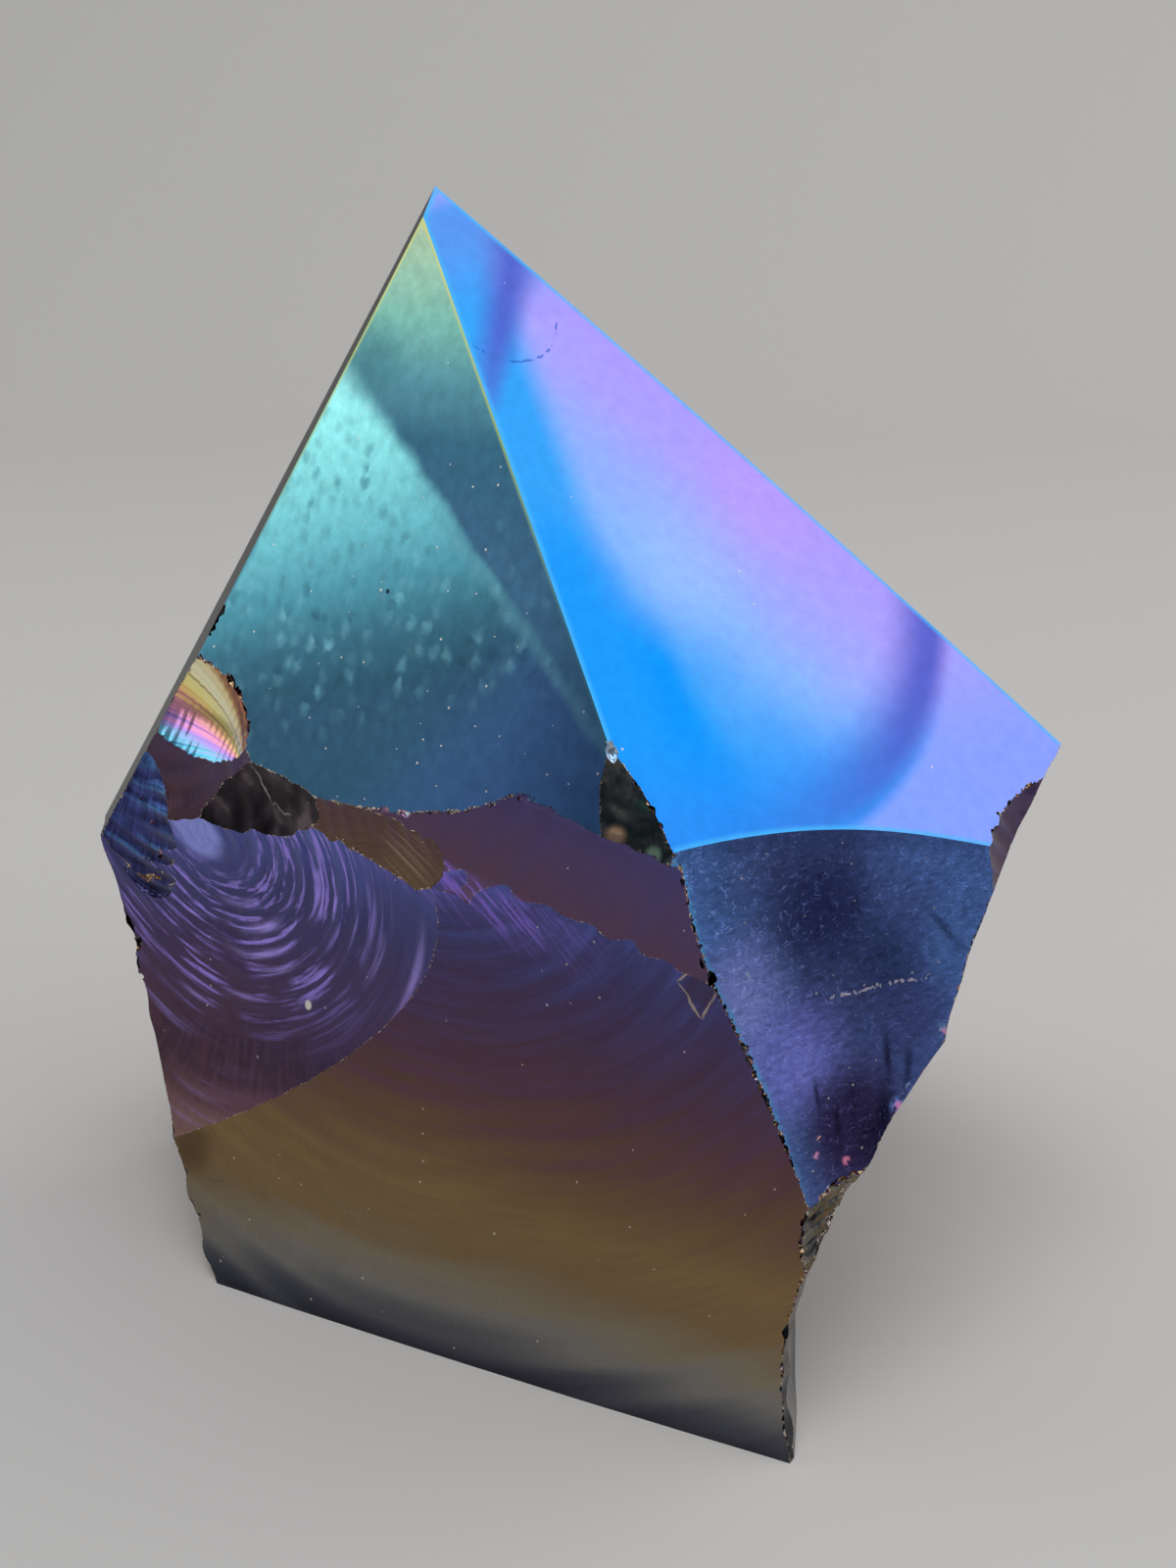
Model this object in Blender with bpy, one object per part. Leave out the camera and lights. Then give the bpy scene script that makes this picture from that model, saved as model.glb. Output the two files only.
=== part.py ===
"""Titanium aura obsidian point: one block of volcanic glass, cut to a tip and coated with a thin film.

The upper half is ground and polished into flat facets that meet in a point. The lower half keeps
the natural breaks of the glass: shallow dishes with ripples, ledges and chipped edges. The foot is
sawn flat, and the stone rests on it.

Lengths are in millimetres up to the last step, and the finished mesh is in metres. +Z is up, the
front looks along -Y, and the origin is the middle of the bounding box at the foot.
"""

import math

import bmesh
import bpy
import numpy as np
from mathutils import Euler, Vector

for old in list(bpy.data.objects):
    bpy.data.objects.remove(old, do_unlink=True)

NAME = "obsidian_point"
METRES_PER_MM = 0.001

# The rough block before it is cut: half width, half depth and height.
BLOCK_HALF_WIDTH = 46.0
BLOCK_HALF_DEPTH = 40.0
BLOCK_HEIGHT = 95.0

# Centre of the finished outline, measured from the point the cuts are laid out from.
LAYOUT_SHIFT_X = -2.98
LAYOUT_SHIFT_Y = 0.89

# How far a scar's cutter rises above its sheet, so that its top is clear of the stone.
CUTTER_RISE = 60.0
# Cut points closer than this are one point.
WELD_DISTANCE = 0.004
# Slope at which a short scar's sheet leaves the stone beyond its reach.
FLARE_RISE = 30.0

# Polished facets: a point on the facet, its compass turn from the front and its tilt towards the sky.
APEX = (-11.8, 3.0, 90.6)
FACETS = {
    "front_left": {"point": (-12.6, 0.3, 88.6), "turn": -37.2, "tilt": 19.3},
    "front_right": {"point": APEX, "turn": 35.4, "tilt": 40.5},
    "left_edge": {"point": APEX, "turn": -81.4, "tilt": 29.3},
    "back_right": {"point": APEX, "turn": 134.3, "tilt": 33.9},
    "back_left": {"point": APEX, "turn": -148.3, "tilt": 22.5},
    "lapped": {"point": (6.2, -29.0, 47.5), "turn": 31.0, "tilt": 16.5},
}

# Natural breaks. point, turn and tilt place the sheet; bow_1 and bow_2 are its radii of curvature,
# plus for dished and minus for bulging, with spin turning them in the sheet. half is the sheet's
# half width and half height, cell its grid, reach where a short sheet turns out of the stone.
# ripple holds the wave's height, its length and the strike point it spreads from.
SCARS = {
    "main_face": {
        "point": (-1.0, -22.5, 20.9), "turn": -29.2, "tilt": 1.2,
        "bow_1": 78.0, "bow_2": -600.0, "spin": 76.7,
        "half": (50.0, 40.0), "cell": 2.2, "ripple": (0.10, 7.0, (-42.0, 26.0)),
    },
    "band": {
        "point": (-5.8, -22.4, 45.0), "turn": -33.9, "tilt": -2.4,
        "bow_1": 0.0, "bow_2": -28.6, "reach": (60.0, 6.2),
        "half": (34.0, 11.0), "cell": 1.7, "ripple": (0.12, 3.2, (-20.0, 16.0)),
    },
    "scallop": {
        "point": (-21.8, -8.1, 28.8), "turn": -40.0, "tilt": 4.9,
        "bow_1": 26.9, "bow_2": 172.0, "spin": -76.7,
        "half": (30.0, 22.0), "cell": 0.85, "ripple": (0.18, 2.6, (-15.0, 13.0)),
    },
    "shoulder": {
        "point": (-27.2, -6.8, 46.5), "turn": -50.0, "tilt": 3.0,
        "bow_1": 60.0, "bow_2": 24.0,
        "half": (24.0, 22.0), "cell": 1.7, "ripple": (0.15, 3.0, (-12.0, 0.0)),
    },
    "bright_chip": {
        "point": (-32.2, 1.9, 49.7), "turn": -52.0, "tilt": 6.0,
        "bow_1": 9.0, "bow_2": 9.0,
        "half": (14.0, 14.0), "cell": 0.9, "ripple": (0.16, 1.9, (-5.0, 6.0)),
    },
    "dark_chip": {
        "point": (-26.1, -5.8, 44.8), "turn": -44.0, "tilt": 0.0,
        "bow_1": 18.0, "bow_2": 8.0, "spin": -30.0,
        "half": (15.0, 15.0), "cell": 1.1, "ripple": (0.14, 2.4, (8.0, -4.0)),
    },
    "left_wall": {
        "point": (-41.2, -5.0, 33.0), "turn": -82.0, "tilt": -9.0,
        "bow_1": 0.0, "bow_2": -220.0,
        "half": (50.0, 48.0), "cell": 3.2, "ripple": (0.30, 6.0, (-20.0, 20.0)),
    },
    "notch": {
        "point": (33.2, -12.3, 44.6), "turn": 47.0, "tilt": 10.0,
        "bow_1": 18.0, "bow_2": 45.0,
        "half": (16.0, 22.0), "cell": 1.3, "ripple": (0.10, 2.4, (5.0, 8.0)),
    },
    "right_upper": {
        "point": (31.0, -16.7, 39.6), "turn": 75.0, "tilt": -20.0,
        "bow_1": 0.0, "bow_2": 48.0,
        "half": (60.0, 34.0), "cell": 2.8, "ripple": (0.25, 5.0, (10.0, 16.0)),
    },
    "under_rim": {
        "point": (23.2, -20.9, 19.1), "turn": 74.0, "tilt": -19.5,
        "bow_1": 48.0, "bow_2": -55.0, "spin": 88.2,
        "half": (60.0, 40.0), "cell": 2.8, "ripple": (0.35, 6.5, (-14.0, 24.0)),
    },
    "corner_strip": {
        "point": (15.4, -30.1, 8.8), "turn": 63.4, "tilt": -1.8,
        "bow_1": 0.0, "bow_2": 22.0,
        "half": (22.0, 24.0), "cell": 2.0, "ripple": (0.08, 4.0, (0.0, 14.0)),
    },
    "low_right": {
        "point": (15.4, -28.5, 8.0), "turn": 84.0, "tilt": -3.0,
        "bow_1": 0.0, "bow_2": 26.0,
        "half": (60.0, 26.0), "cell": 2.8, "ripple": (0.20, 5.5, (10.0, 14.0)),
    },
    "rear_right": {
        "point": (17.0, 18.0, 18.0), "turn": 136.0, "tilt": -9.0,
        "bow_1": 62.0, "bow_2": 48.0,
        "half": (56.0, 46.0), "cell": 3.0, "ripple": (0.40, 6.0, (-18.0, 24.0)),
    },
    "rear_left": {
        "point": (-20.0, 20.0, 24.0), "turn": -152.0, "tilt": -5.0,
        "bow_1": 66.0, "bow_2": 52.0, "spin": 20.0,
        "half": (56.0, 48.0), "cell": 3.0, "ripple": (0.40, 6.5, (16.0, 26.0)),
    },
    "rear_middle": {
        "point": (2.0, 26.0, 22.0), "turn": 176.0, "tilt": -8.0,
        "bow_1": 44.0, "bow_2": 38.0,
        "half": (44.0, 34.0), "cell": 2.6, "ripple": (0.35, 5.0, (-6.0, 18.0)),
    },
}

# Chipped edges: where the run starts and ends, the way out of the stone there, how many bites it
# has, their radius and their depth. Each bite is a shallow one from a faceted ball.
CHIPPED_EDGES = {
    "ridge_foot": {
        "start": (0.6, -25.4, 54.0), "end": (5.6, -29.1, 48.0), "turn": 0.0, "tilt": 25.0,
        "bites": 4, "radius": 3.2, "depth": 0.8,
    },
    "front_corner": {
        "start": (8.6, -29.7, 42.0), "end": (15.8, -31.1, 24.6), "turn": 2.0, "tilt": 10.0,
        "bites": 8, "radius": 3.4, "depth": 0.7,
    },
    "rim_side": {
        "start": (30.2, -17.2, 39.4), "end": (28.3, -21.0, 32.0), "turn": 50.0, "tilt": -5.0,
        "bites": 3, "radius": 3.0, "depth": 0.6,
    },
    "rim_crumbs": {
        "start": (27.0, -22.6, 29.8), "end": (17.8, -31.0, 21.2), "turn": 46.0, "tilt": -8.0,
        "bites": 7, "radius": 2.8, "depth": 0.8,
    },
    "band_top": {
        "start": (-20.0, -12.6, 46.4), "end": (-1.0, -26.4, 47.4), "turn": -36.0, "tilt": 6.0,
        "bites": 7, "radius": 3.0, "depth": 0.45,
    },
    "left_knobs": {
        "start": (-40.6, 2.0, 43.0), "end": (-41.0, 5.5, 25.0), "turn": -62.0, "tilt": 0.0,
        "bites": 5, "radius": 3.4, "depth": 1.1,
    },
    "foot_corner": {
        "start": (15.0, -31.2, 15.0), "end": (14.4, -31.8, 5.0), "turn": 20.0, "tilt": 0.0,
        "bites": 3, "radius": 2.8, "depth": 0.7,
    },
    "foot_left": {
        "start": (-35.0, -7.0, 16.0), "end": (-33.2, -9.6, 6.0), "turn": -55.0, "tilt": 0.0,
        "bites": 2, "radius": 6.0, "depth": 0.9,
    },
}
CHIP_SEED = 7


def frame_of(turn, tilt):
    """Return a sheet's outward, sideways and upward directions for its turn and tilt in degrees."""
    yaw = math.radians(turn)
    lift = math.radians(tilt)
    outward = Vector((math.sin(yaw) * math.cos(lift), -math.cos(yaw) * math.cos(lift), math.sin(lift)))
    sideways = Vector((math.cos(yaw), math.sin(yaw), 0.0))
    upward = outward.cross(sideways)
    return outward, sideways, upward


def sheet_height(scar, across, up):
    """Return how far the sheet stands out of its tangent plane at (across, up), in millimetres.

    Each radius of curvature adds distance squared over twice the radius. The ripples are a wave
    in the distance from the strike point. Beyond the reach the sheet climbs out of the stone.
    """
    spin = math.radians(scar.get("spin", 0.0))
    along_1 = across * math.cos(spin) + up * math.sin(spin)
    along_2 = up * math.cos(spin) - across * math.sin(spin)
    height = np.zeros_like(across)
    if scar["bow_1"]:
        height = height + along_1 ** 2 / (2.0 * scar["bow_1"])
    if scar["bow_2"]:
        height = height + along_2 ** 2 / (2.0 * scar["bow_2"])
    if "reach" in scar:
        reach_across, reach_up = scar["reach"]
        share = np.hypot(across / reach_across, up / reach_up)
        height = height + FLARE_RISE * np.maximum(share - 1.0, 0.0)
    wave_height, wave_length, strike = scar["ripple"]
    distance = np.hypot(across - strike[0], up - strike[1])
    return height + wave_height * np.sin(2.0 * math.pi * distance / wave_length)


def new_object(name, mesh_builder, collection):
    """Make an object from a closed bmesh, with its faces pointing out, and link it."""
    bmesh.ops.recalc_face_normals(mesh_builder, faces=mesh_builder.faces)
    if mesh_builder.calc_volume(signed=True) < 0.0:
        bmesh.ops.reverse_faces(mesh_builder, faces=mesh_builder.faces)
    mesh = bpy.data.meshes.new(name)
    mesh_builder.to_mesh(mesh)
    mesh_builder.free()
    obj = bpy.data.objects.new(name, mesh)
    collection.objects.link(obj)
    return obj


def faceted_block(collection):
    """Saw the rough block down to the polished facets, one plane at a time."""
    bm = bmesh.new()
    bmesh.ops.create_cube(bm, size=2.0)
    half_height = BLOCK_HEIGHT / 2.0
    bmesh.ops.scale(bm, vec=(BLOCK_HALF_WIDTH, BLOCK_HALF_DEPTH, half_height), verts=bm.verts)
    bmesh.ops.translate(bm, vec=(0.0, 0.0, half_height), verts=bm.verts)
    for facet in FACETS.values():
        outward = frame_of(facet["turn"], facet["tilt"])[0]
        everything = bm.verts[:] + bm.edges[:] + bm.faces[:]
        cut = bmesh.ops.bisect_plane(
            bm, geom=everything, plane_co=facet["point"], plane_no=outward, clear_outer=True
        )
        rim = [item for item in cut["geom_cut"] if isinstance(item, bmesh.types.BMEdge)]
        bmesh.ops.contextual_create(bm, geom=rim)
    return new_object(NAME, bm, collection)


def scar_cutter(name, scar, collection):
    """Close a dished sheet into a solid that holds everything outside the sheet."""
    outward, sideways, upward = frame_of(scar["turn"], scar["tilt"])
    half_across, half_up = scar["half"]
    columns = round(2.0 * half_across / scar["cell"])
    rows = round(2.0 * half_up / scar["cell"])
    bm = bmesh.new()
    bmesh.ops.create_grid(bm, x_segments=columns, y_segments=rows, size=1.0)
    flat = np.array([vert.co for vert in bm.verts])
    heights = sheet_height(scar, flat[:, 0] * half_across, flat[:, 1] * half_up)
    lid = bmesh.ops.extrude_face_region(bm, geom=bm.faces[:])["geom"]
    lid_verts = [item for item in lid if isinstance(item, bmesh.types.BMVert)]
    bm.verts.ensure_lookup_table()
    point = Vector(scar["point"])
    for vert in lid_verts:
        vert.co.z = CUTTER_RISE
    for vert, height in zip(bm.verts[: len(heights)], heights):
        vert.co.z = height
    for vert in bm.verts:
        across, up, out = vert.co
        vert.co = point + sideways * (across * half_across) + upward * (up * half_up) + outward * out
    return new_object(name + "_cutter", bm, collection)


def chip_cutters(name, edge, chooser, collection):
    """Make the faceted balls that bite along one edge, each a little off the even spacing."""
    outward = frame_of(edge["turn"], edge["tilt"])[0]
    start = Vector(edge["start"])
    run = Vector(edge["end"]) - start
    balls = []
    for bite in range(edge["bites"]):
        share = (bite + chooser.uniform(0.2, 0.8)) / edge["bites"]
        radius = edge["radius"] * chooser.uniform(0.6, 1.4)
        depth = edge["depth"] * chooser.uniform(0.5, 1.5)
        turned = Euler(chooser.uniform(0.0, math.pi, 3)).to_matrix()
        bm = bmesh.new()
        bmesh.ops.create_icosphere(bm, subdivisions=2, radius=radius)
        bmesh.ops.rotate(bm, matrix=turned, verts=bm.verts)
        bmesh.ops.translate(bm, vec=start + run * share + outward * (radius - depth), verts=bm.verts)
        balls.append(new_object(f"{name}_{bite}_cutter", bm, collection))
    return balls


def subtract(stone, cutter, solver="EXACT"):
    """Cut the cutter out of the stone and keep the cutter only as a wire guide."""
    cut = stone.modifiers.new(cutter.name, "BOOLEAN")
    cut.operation = "DIFFERENCE"
    cut.solver = solver
    cut.object = cutter
    cutter.hide_render = True
    cutter.display_type = "WIRE"


def glass_material():
    """Volcanic glass under a titanium film: dark blue, smooth and metallic."""
    material = bpy.data.materials.new("titanium_coated_obsidian")
    material.use_nodes = True
    shader = material.node_tree.nodes["Principled BSDF"]
    shader.inputs["Base Color"].default_value = (0.05, 0.12, 0.30, 1.0)
    shader.inputs["Roughness"].default_value = 0.15
    shader.inputs["Metallic"].default_value = 0.9
    return material


def drop_loose_crumbs(bm):
    """Keep the body with the most faces: a bite can cut a crumb free of the edge."""
    waiting = set(bm.faces)
    bodies = []
    while waiting:
        body = set()
        front = [waiting.pop()]
        while front:
            face = front.pop()
            body.add(face)
            for edge in face.edges:
                for other in edge.link_faces:
                    if other in waiting:
                        waiting.remove(other)
                        front.append(other)
        bodies.append(body)
    bodies.sort(key=len)
    crumbs = [face for body in bodies[:-1] for face in body]
    bmesh.ops.delete(bm, geom=crumbs, context="FACES")


def to_metres(stone):
    """Fix the cuts into the mesh, shift it to its frame and turn millimetres into metres."""
    depsgraph = bpy.context.evaluated_depsgraph_get()
    finished = bpy.data.meshes.new_from_object(stone.evaluated_get(depsgraph))
    stone.modifiers.clear()
    bm = bmesh.new()
    bm.from_mesh(finished)
    bmesh.ops.remove_doubles(bm, verts=bm.verts, dist=WELD_DISTANCE)
    bmesh.ops.dissolve_degenerate(bm, edges=bm.edges, dist=WELD_DISTANCE)
    bmesh.ops.triangulate(bm, faces=bm.faces)
    drop_loose_crumbs(bm)
    bmesh.ops.translate(bm, vec=(-LAYOUT_SHIFT_X, -LAYOUT_SHIFT_Y, 0.0), verts=bm.verts)
    bmesh.ops.scale(bm, vec=(METRES_PER_MM,) * 3, verts=bm.verts)
    bm.to_mesh(finished)
    bm.free()
    stone.data = finished


def main():
    parts = bpy.data.collections.new(NAME)
    cutters = bpy.data.collections.new(NAME + "_cutters")
    bpy.context.scene.collection.children.link(parts)
    bpy.context.scene.collection.children.link(cutters)
    stone = faceted_block(parts)
    for name, scar in SCARS.items():
        subtract(stone, scar_cutter(name, scar, cutters))
    chooser = np.random.default_rng(CHIP_SEED)
    for name, edge in CHIPPED_EDGES.items():
        for ball in chip_cutters(name, edge, chooser, cutters):
            # The bites meet sliver triangles, where the EXACT solver loses the whole solid.
            subtract(stone, ball, solver="MANIFOLD")
    to_metres(stone)
    stone.data.materials.clear()
    stone.data.materials.append(glass_material())
    return stone


main()
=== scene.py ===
# %% [markdown]
# # A titanium aura obsidian point
#
# Obsidian is volcanic glass, and it breaks in shells: curved dishes with ripples that spread from
# where the blow fell. This stone is ground to a point at the top, where its facets are flat and
# polished, and is left as it broke below. Then it was heated in a vacuum full of titanium vapour,
# which left a film on it far thinner than a hair. Light that bounces off the top of the film and
# off the glass under it adds up or cancels, so the film's thickness picks the colour, and the same
# stone is gold at the foot, violet in the middle and sky blue near the tip.
#
# This lesson cuts the stone with curved sheets, colours each surface by the thickness of its film,
# and lights it softly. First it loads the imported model, which gives the size and the place.

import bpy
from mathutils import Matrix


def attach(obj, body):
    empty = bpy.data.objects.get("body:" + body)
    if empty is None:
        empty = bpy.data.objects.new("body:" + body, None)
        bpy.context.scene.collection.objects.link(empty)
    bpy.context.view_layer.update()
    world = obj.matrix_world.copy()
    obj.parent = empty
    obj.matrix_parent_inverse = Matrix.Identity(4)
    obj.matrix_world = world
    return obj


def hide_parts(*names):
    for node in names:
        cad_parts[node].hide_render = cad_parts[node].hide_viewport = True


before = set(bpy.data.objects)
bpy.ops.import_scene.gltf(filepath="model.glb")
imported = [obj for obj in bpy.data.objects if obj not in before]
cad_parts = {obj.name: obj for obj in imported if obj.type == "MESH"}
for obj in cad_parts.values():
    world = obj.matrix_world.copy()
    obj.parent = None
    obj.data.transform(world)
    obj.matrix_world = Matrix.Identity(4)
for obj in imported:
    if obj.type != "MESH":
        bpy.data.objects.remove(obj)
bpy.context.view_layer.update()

# %% Tools used below
import math

import bmesh
import bpy
import numpy as np
from mathutils import Matrix, Vector

MM = 0.001
# The cuts are laid out in millimetres from a point near the stone's axis. This is that point's
# place in the frame.
LAYOUT_ORIGIN = Vector((2.98, -0.89, 0.0))

# %% [markdown]
# ## One way to place every surface
#
# Each facet and each break is a sheet. A sheet has a point it passes through, a turn (its compass
# direction, 0 is the front) and a tilt towards the sky. Three directions follow from these: out of
# the stone, sideways along the sheet and up along it. A grinder's lap and a hammer blow are both
# described this way, so one pair of helpers serves all of them.


# %% Directions of a sheet
def directions(turn, tilt):
    """Outward = the front direction turned by turn, then lifted by tilt. Sideways stays level.

    Upward is square to both, so the three make a right-handed set.
    """
    yaw, lift = math.radians(turn), math.radians(tilt)
    level = np.array([math.sin(yaw), -math.cos(yaw), 0.0])
    outward = level * math.cos(lift) + np.array([0.0, 0.0, math.sin(lift)])
    sideways = np.array([math.cos(yaw), math.sin(yaw), 0.0])
    return sideways, np.cross(outward, sideways), outward


# %% [markdown]
# ## The polished facets
#
# A lapidary grinds each facet on a spinning lap, from coarse grit to fine, and holds the stone by
# hand. So a facet is almost flat: it is a little crowned, and it wavers by a few hundredths of a
# millimetre, which is enough to bend what it reflects. Here the crown is a large radius and the
# wavering is a gentle noise.

# %% Facets
APEX = (-11.8, 3.0, 90.6)
FACETS = {
    "front_left": {
        "point": (-12.6, 0.3, 88.6), "turn": -37.2, "tilt": 19.3,
        "half": (62.0, 62.0), "cell": 0.9, "waver": (0.012, 5.0),
    },
    "front_right": {
        "point": APEX, "turn": 35.4, "tilt": 40.5,
        "half": (70.0, 84.0), "cell": 1.0, "waver": (0.015, 11.0),
    },
    "left_edge": {
        "point": APEX, "turn": -81.4, "tilt": 29.3,
        "half": (62.0, 66.0), "cell": 1.2, "waver": (0.015, 9.0),
    },
    "back_right": {
        "point": APEX, "turn": 134.3, "tilt": 33.9,
        "half": (80.0, 84.0), "cell": 1.2, "waver": (0.020, 12.0),
        "crown": (1200.0, (-30.0, -36.0), 0.9),
    },
    "back_left": {
        "point": APEX, "turn": -148.3, "tilt": 22.5,
        "half": (70.0, 76.0), "cell": 1.2, "waver": (0.020, 10.0),
    },
    "lapped": {
        "point": (6.0, -28.69, 47.39), "turn": 31.0, "tilt": 16.5,
        "bow_1": 160.0, "middle": (11.0, 0.0),
        "half": (50.0, 50.0), "cell": 0.5, "waver": (0.03, 6.0),
    },
}
print("polished or lapped facets:", len(FACETS))

# %% [markdown]
# ## The natural breaks
#
# A break in glass is a shallow dish, so a scar is a sheet with two radii of curvature. Ripples run
# round the strike point like rings on water. They are the stone's best feature, and they are real
# relief rather than a painted bump, because light catches each crest.

# %% Scars
SCARS = {
    "main_face": {
        "point": (-1.0, -22.5, 20.9), "turn": -29.2, "tilt": 1.2,
        "bow_1": 78.0, "bow_2": -600.0, "spin": 76.7,
        "half": (50.0, 40.0), "cell": 0.5, "ripple": (0.012, 3.4, (-14.0, 33.0)), "wander": 1.4,
    },
    "band": {
        "point": (-5.75, -22.28, 44.0), "turn": -31.7, "tilt": -2.4,
        "bow_1": -368.0, "bow_2": -28.6, "spin": -13.0, "middle": (0.0, 0.6), "reach": (60.0, 5.6),
        "half": (34.0, 11.0), "cell": 0.5, "ripple": (0.05, 3.2, (-20.0, 16.0)), "wander": 0.5,
    },
    "scallop": {
        "point": (-21.8, -8.1, 28.8), "turn": -40.0, "tilt": 4.9,
        "bow_1": 26.9, "bow_2": 172.0, "spin": -76.7,
        "half": (30.0, 22.0), "cell": 0.26, "ripple": (0.055, 2.3, (-11.5, 11.4)), "wander": 1.3,
        "fade": (13.0, 25.0),
    },
    "shoulder": {
        "point": (-27.2, -6.8, 46.5), "turn": -50.0, "tilt": 3.0,
        "bow_1": 60.0, "bow_2": 24.0,
        "half": (24.0, 22.0), "cell": 0.5, "ripple": (0.06, 3.0, (-12.0, 0.0)), "wander": 0.5,
    },
    "bright_chip": {
        "point": (-30.0, -1.5, 48.9), "turn": -50.0, "tilt": 10.6,
        "bow_1": 16.0, "bow_2": 7.0,
        "half": (14.0, 12.0), "cell": 0.22, "ripple": (0.06, 0.9, (5.6, -2.6)), "wander": 0.4,
    },
    "dark_chip": {
        "point": (-25.5, -7.05, 43.75), "turn": -40.0, "tilt": -5.4,
        "bow_1": 30.0, "bow_2": 10.0, "waver": (0.28, 2.2),
        "half": (14.0, 10.0), "cell": 0.3, "ripple": (0.08, 2.4, (8.0, -4.0)), "wander": 0.6,
    },
    "left_wall": {
        "point": (-41.2, -5.0, 33.0), "turn": -82.0, "tilt": -9.0,
        "bow_2": -220.0,
        "half": (50.0, 48.0), "cell": 0.7, "ripple": (0.24, 5.0, (-20.0, 20.0)), "wander": 1.2,
    },
    "notch": {
        "point": (33.2, -12.3, 44.6), "turn": 47.0, "tilt": 10.0,
        "bow_1": 18.0, "bow_2": 45.0,
        "half": (16.0, 22.0), "cell": 0.35, "ripple": (0.08, 1.8, (5.0, 8.0)), "wander": 0.6,
    },
    "right_upper": {
        "point": (31.0, -16.7, 39.6), "turn": 75.0, "tilt": -20.0,
        "bow_2": 48.0,
        "half": (60.0, 34.0), "cell": 0.7, "ripple": (0.20, 5.0, (10.0, 16.0)), "wander": 0.9,
    },
    "under_rim": {
        "point": (23.2, -20.9, 19.1), "turn": 74.0, "tilt": -19.5,
        "bow_1": 48.0, "bow_2": -55.0, "spin": 88.2,
        "half": (60.0, 40.0), "cell": 0.7, "ripple": (0.26, 5.5, (-14.0, 24.0)), "wander": 0.9,
    },
    "corner_strip": {
        "point": (15.4, -30.1, 8.8), "turn": 63.4, "tilt": -1.8,
        "bow_2": 22.0,
        "half": (22.0, 24.0), "cell": 0.5, "ripple": (0.06, 3.0, (0.0, 14.0)), "wander": 0.8,
    },
    "low_right": {
        "point": (15.4, -28.5, 8.0), "turn": 84.0, "tilt": -3.0,
        "bow_2": 26.0,
        "half": (60.0, 26.0), "cell": 0.7, "ripple": (0.16, 4.5, (10.0, 14.0)), "wander": 0.9,
    },
    "rear_right": {
        "point": (17.0, 18.0, 18.0), "turn": 136.0, "tilt": -9.0,
        "bow_1": 62.0, "bow_2": 48.0,
        "half": (56.0, 46.0), "cell": 0.7, "ripple": (0.30, 5.5, (-18.0, 24.0)), "wander": 0.9,
    },
    "rear_left": {
        "point": (-20.0, 20.0, 24.0), "turn": -152.0, "tilt": -5.0,
        "bow_1": 66.0, "bow_2": 52.0, "spin": 20.0,
        "half": (56.0, 48.0), "cell": 0.7, "ripple": (0.30, 5.8, (16.0, 26.0)), "wander": 0.9,
    },
    "rear_middle": {
        "point": (2.0, 26.0, 22.0), "turn": 176.0, "tilt": -8.0,
        "bow_1": 44.0, "bow_2": 38.0,
        "half": (44.0, 34.0), "cell": 0.7, "ripple": (0.28, 4.8, (-6.0, 18.0)), "wander": 0.9,
    },
    "lens": {
        "point": (-16.28, -14.62, 43.3), "turn": -35.9, "tilt": -12.5,
        "bow_1": 150.0, "bow_2": 20.0, "reach": (7.0, 4.2),
        "half": (12.0, 8.0), "cell": 0.3, "ripple": (0.03, 1.6, (9.0, 2.0)), "wander": 0.6,
    },
    "left_strip": {
        "point": (-38.84, 3.05, 37.5), "turn": -31.7, "tilt": -2.0,
        "bow_1": 20.0, "bow_2": -26.0, "reach": (4.4, 7.0),
        "half": (9.0, 12.0), "cell": 0.25, "ripple": (0.16, 1.9, (3.0, 12.0)), "wander": 1.4,
    },
    "ridge_chip": {
        "point": (3.6, -27.4, 49.2), "turn": -18.0, "tilt": 20.0,
        "bow_1": 5.0, "bow_2": 26.0, "spin": 24.0,
        "half": (7.0, 9.0), "cell": 0.25, "ripple": (0.10, 1.5, (0.0, 5.0)), "wander": 1.0,
    },
    "crumble": {
        "point": (18.0, -29.6, 21.4), "turn": 42.0, "tilt": -22.0,
        "bow_1": 12.0, "bow_2": 7.0,
        "half": (12.0, 10.0), "cell": 0.25, "ripple": (0.22, 1.4, (-3.0, 3.0)), "wander": 2.0,
    },
}
SHEETS = {**FACETS, **SCARS}
ZONES = ["foot", "chip"] + list(SHEETS)


def axes_of(name):
    """The directions across, up and out of a sheet, one in each row."""
    return np.stack(directions(SHEETS[name]["turn"], SHEETS[name]["tilt"]))


print("breaks:", len(SCARS))

# %% [markdown]
# ## Noise that repeats exactly
#
# Nothing on a stone is regular, so ripples wander and fade. The wandering is value noise: random
# heights on a square lattice, joined by a smooth step. A fixed seed gives the same stone each time.


# %% Smooth noise
LATTICE = 64


def noise(x, y, seed):
    """Heights from -1 to 1 at the corners of a unit lattice, joined by 3t^2 - 2t^3 both ways."""
    heights = np.random.default_rng(seed).uniform(-1.0, 1.0, (LATTICE, LATTICE))
    column, row = np.floor(x).astype(int), np.floor(y).astype(int)
    step_x, step_y = x - column, y - row
    step_x = step_x * step_x * (3.0 - 2.0 * step_x)
    step_y = step_y * step_y * (3.0 - 2.0 * step_y)
    left = heights[column % LATTICE, row % LATTICE]
    right = heights[(column + 1) % LATTICE, row % LATTICE]
    upper_left = heights[column % LATTICE, (row + 1) % LATTICE]
    upper_right = heights[(column + 1) % LATTICE, (row + 1) % LATTICE]
    lower = left + (right - left) * step_x
    upper = upper_left + (upper_right - upper_left) * step_x
    return lower + (upper - lower) * step_y


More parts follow.
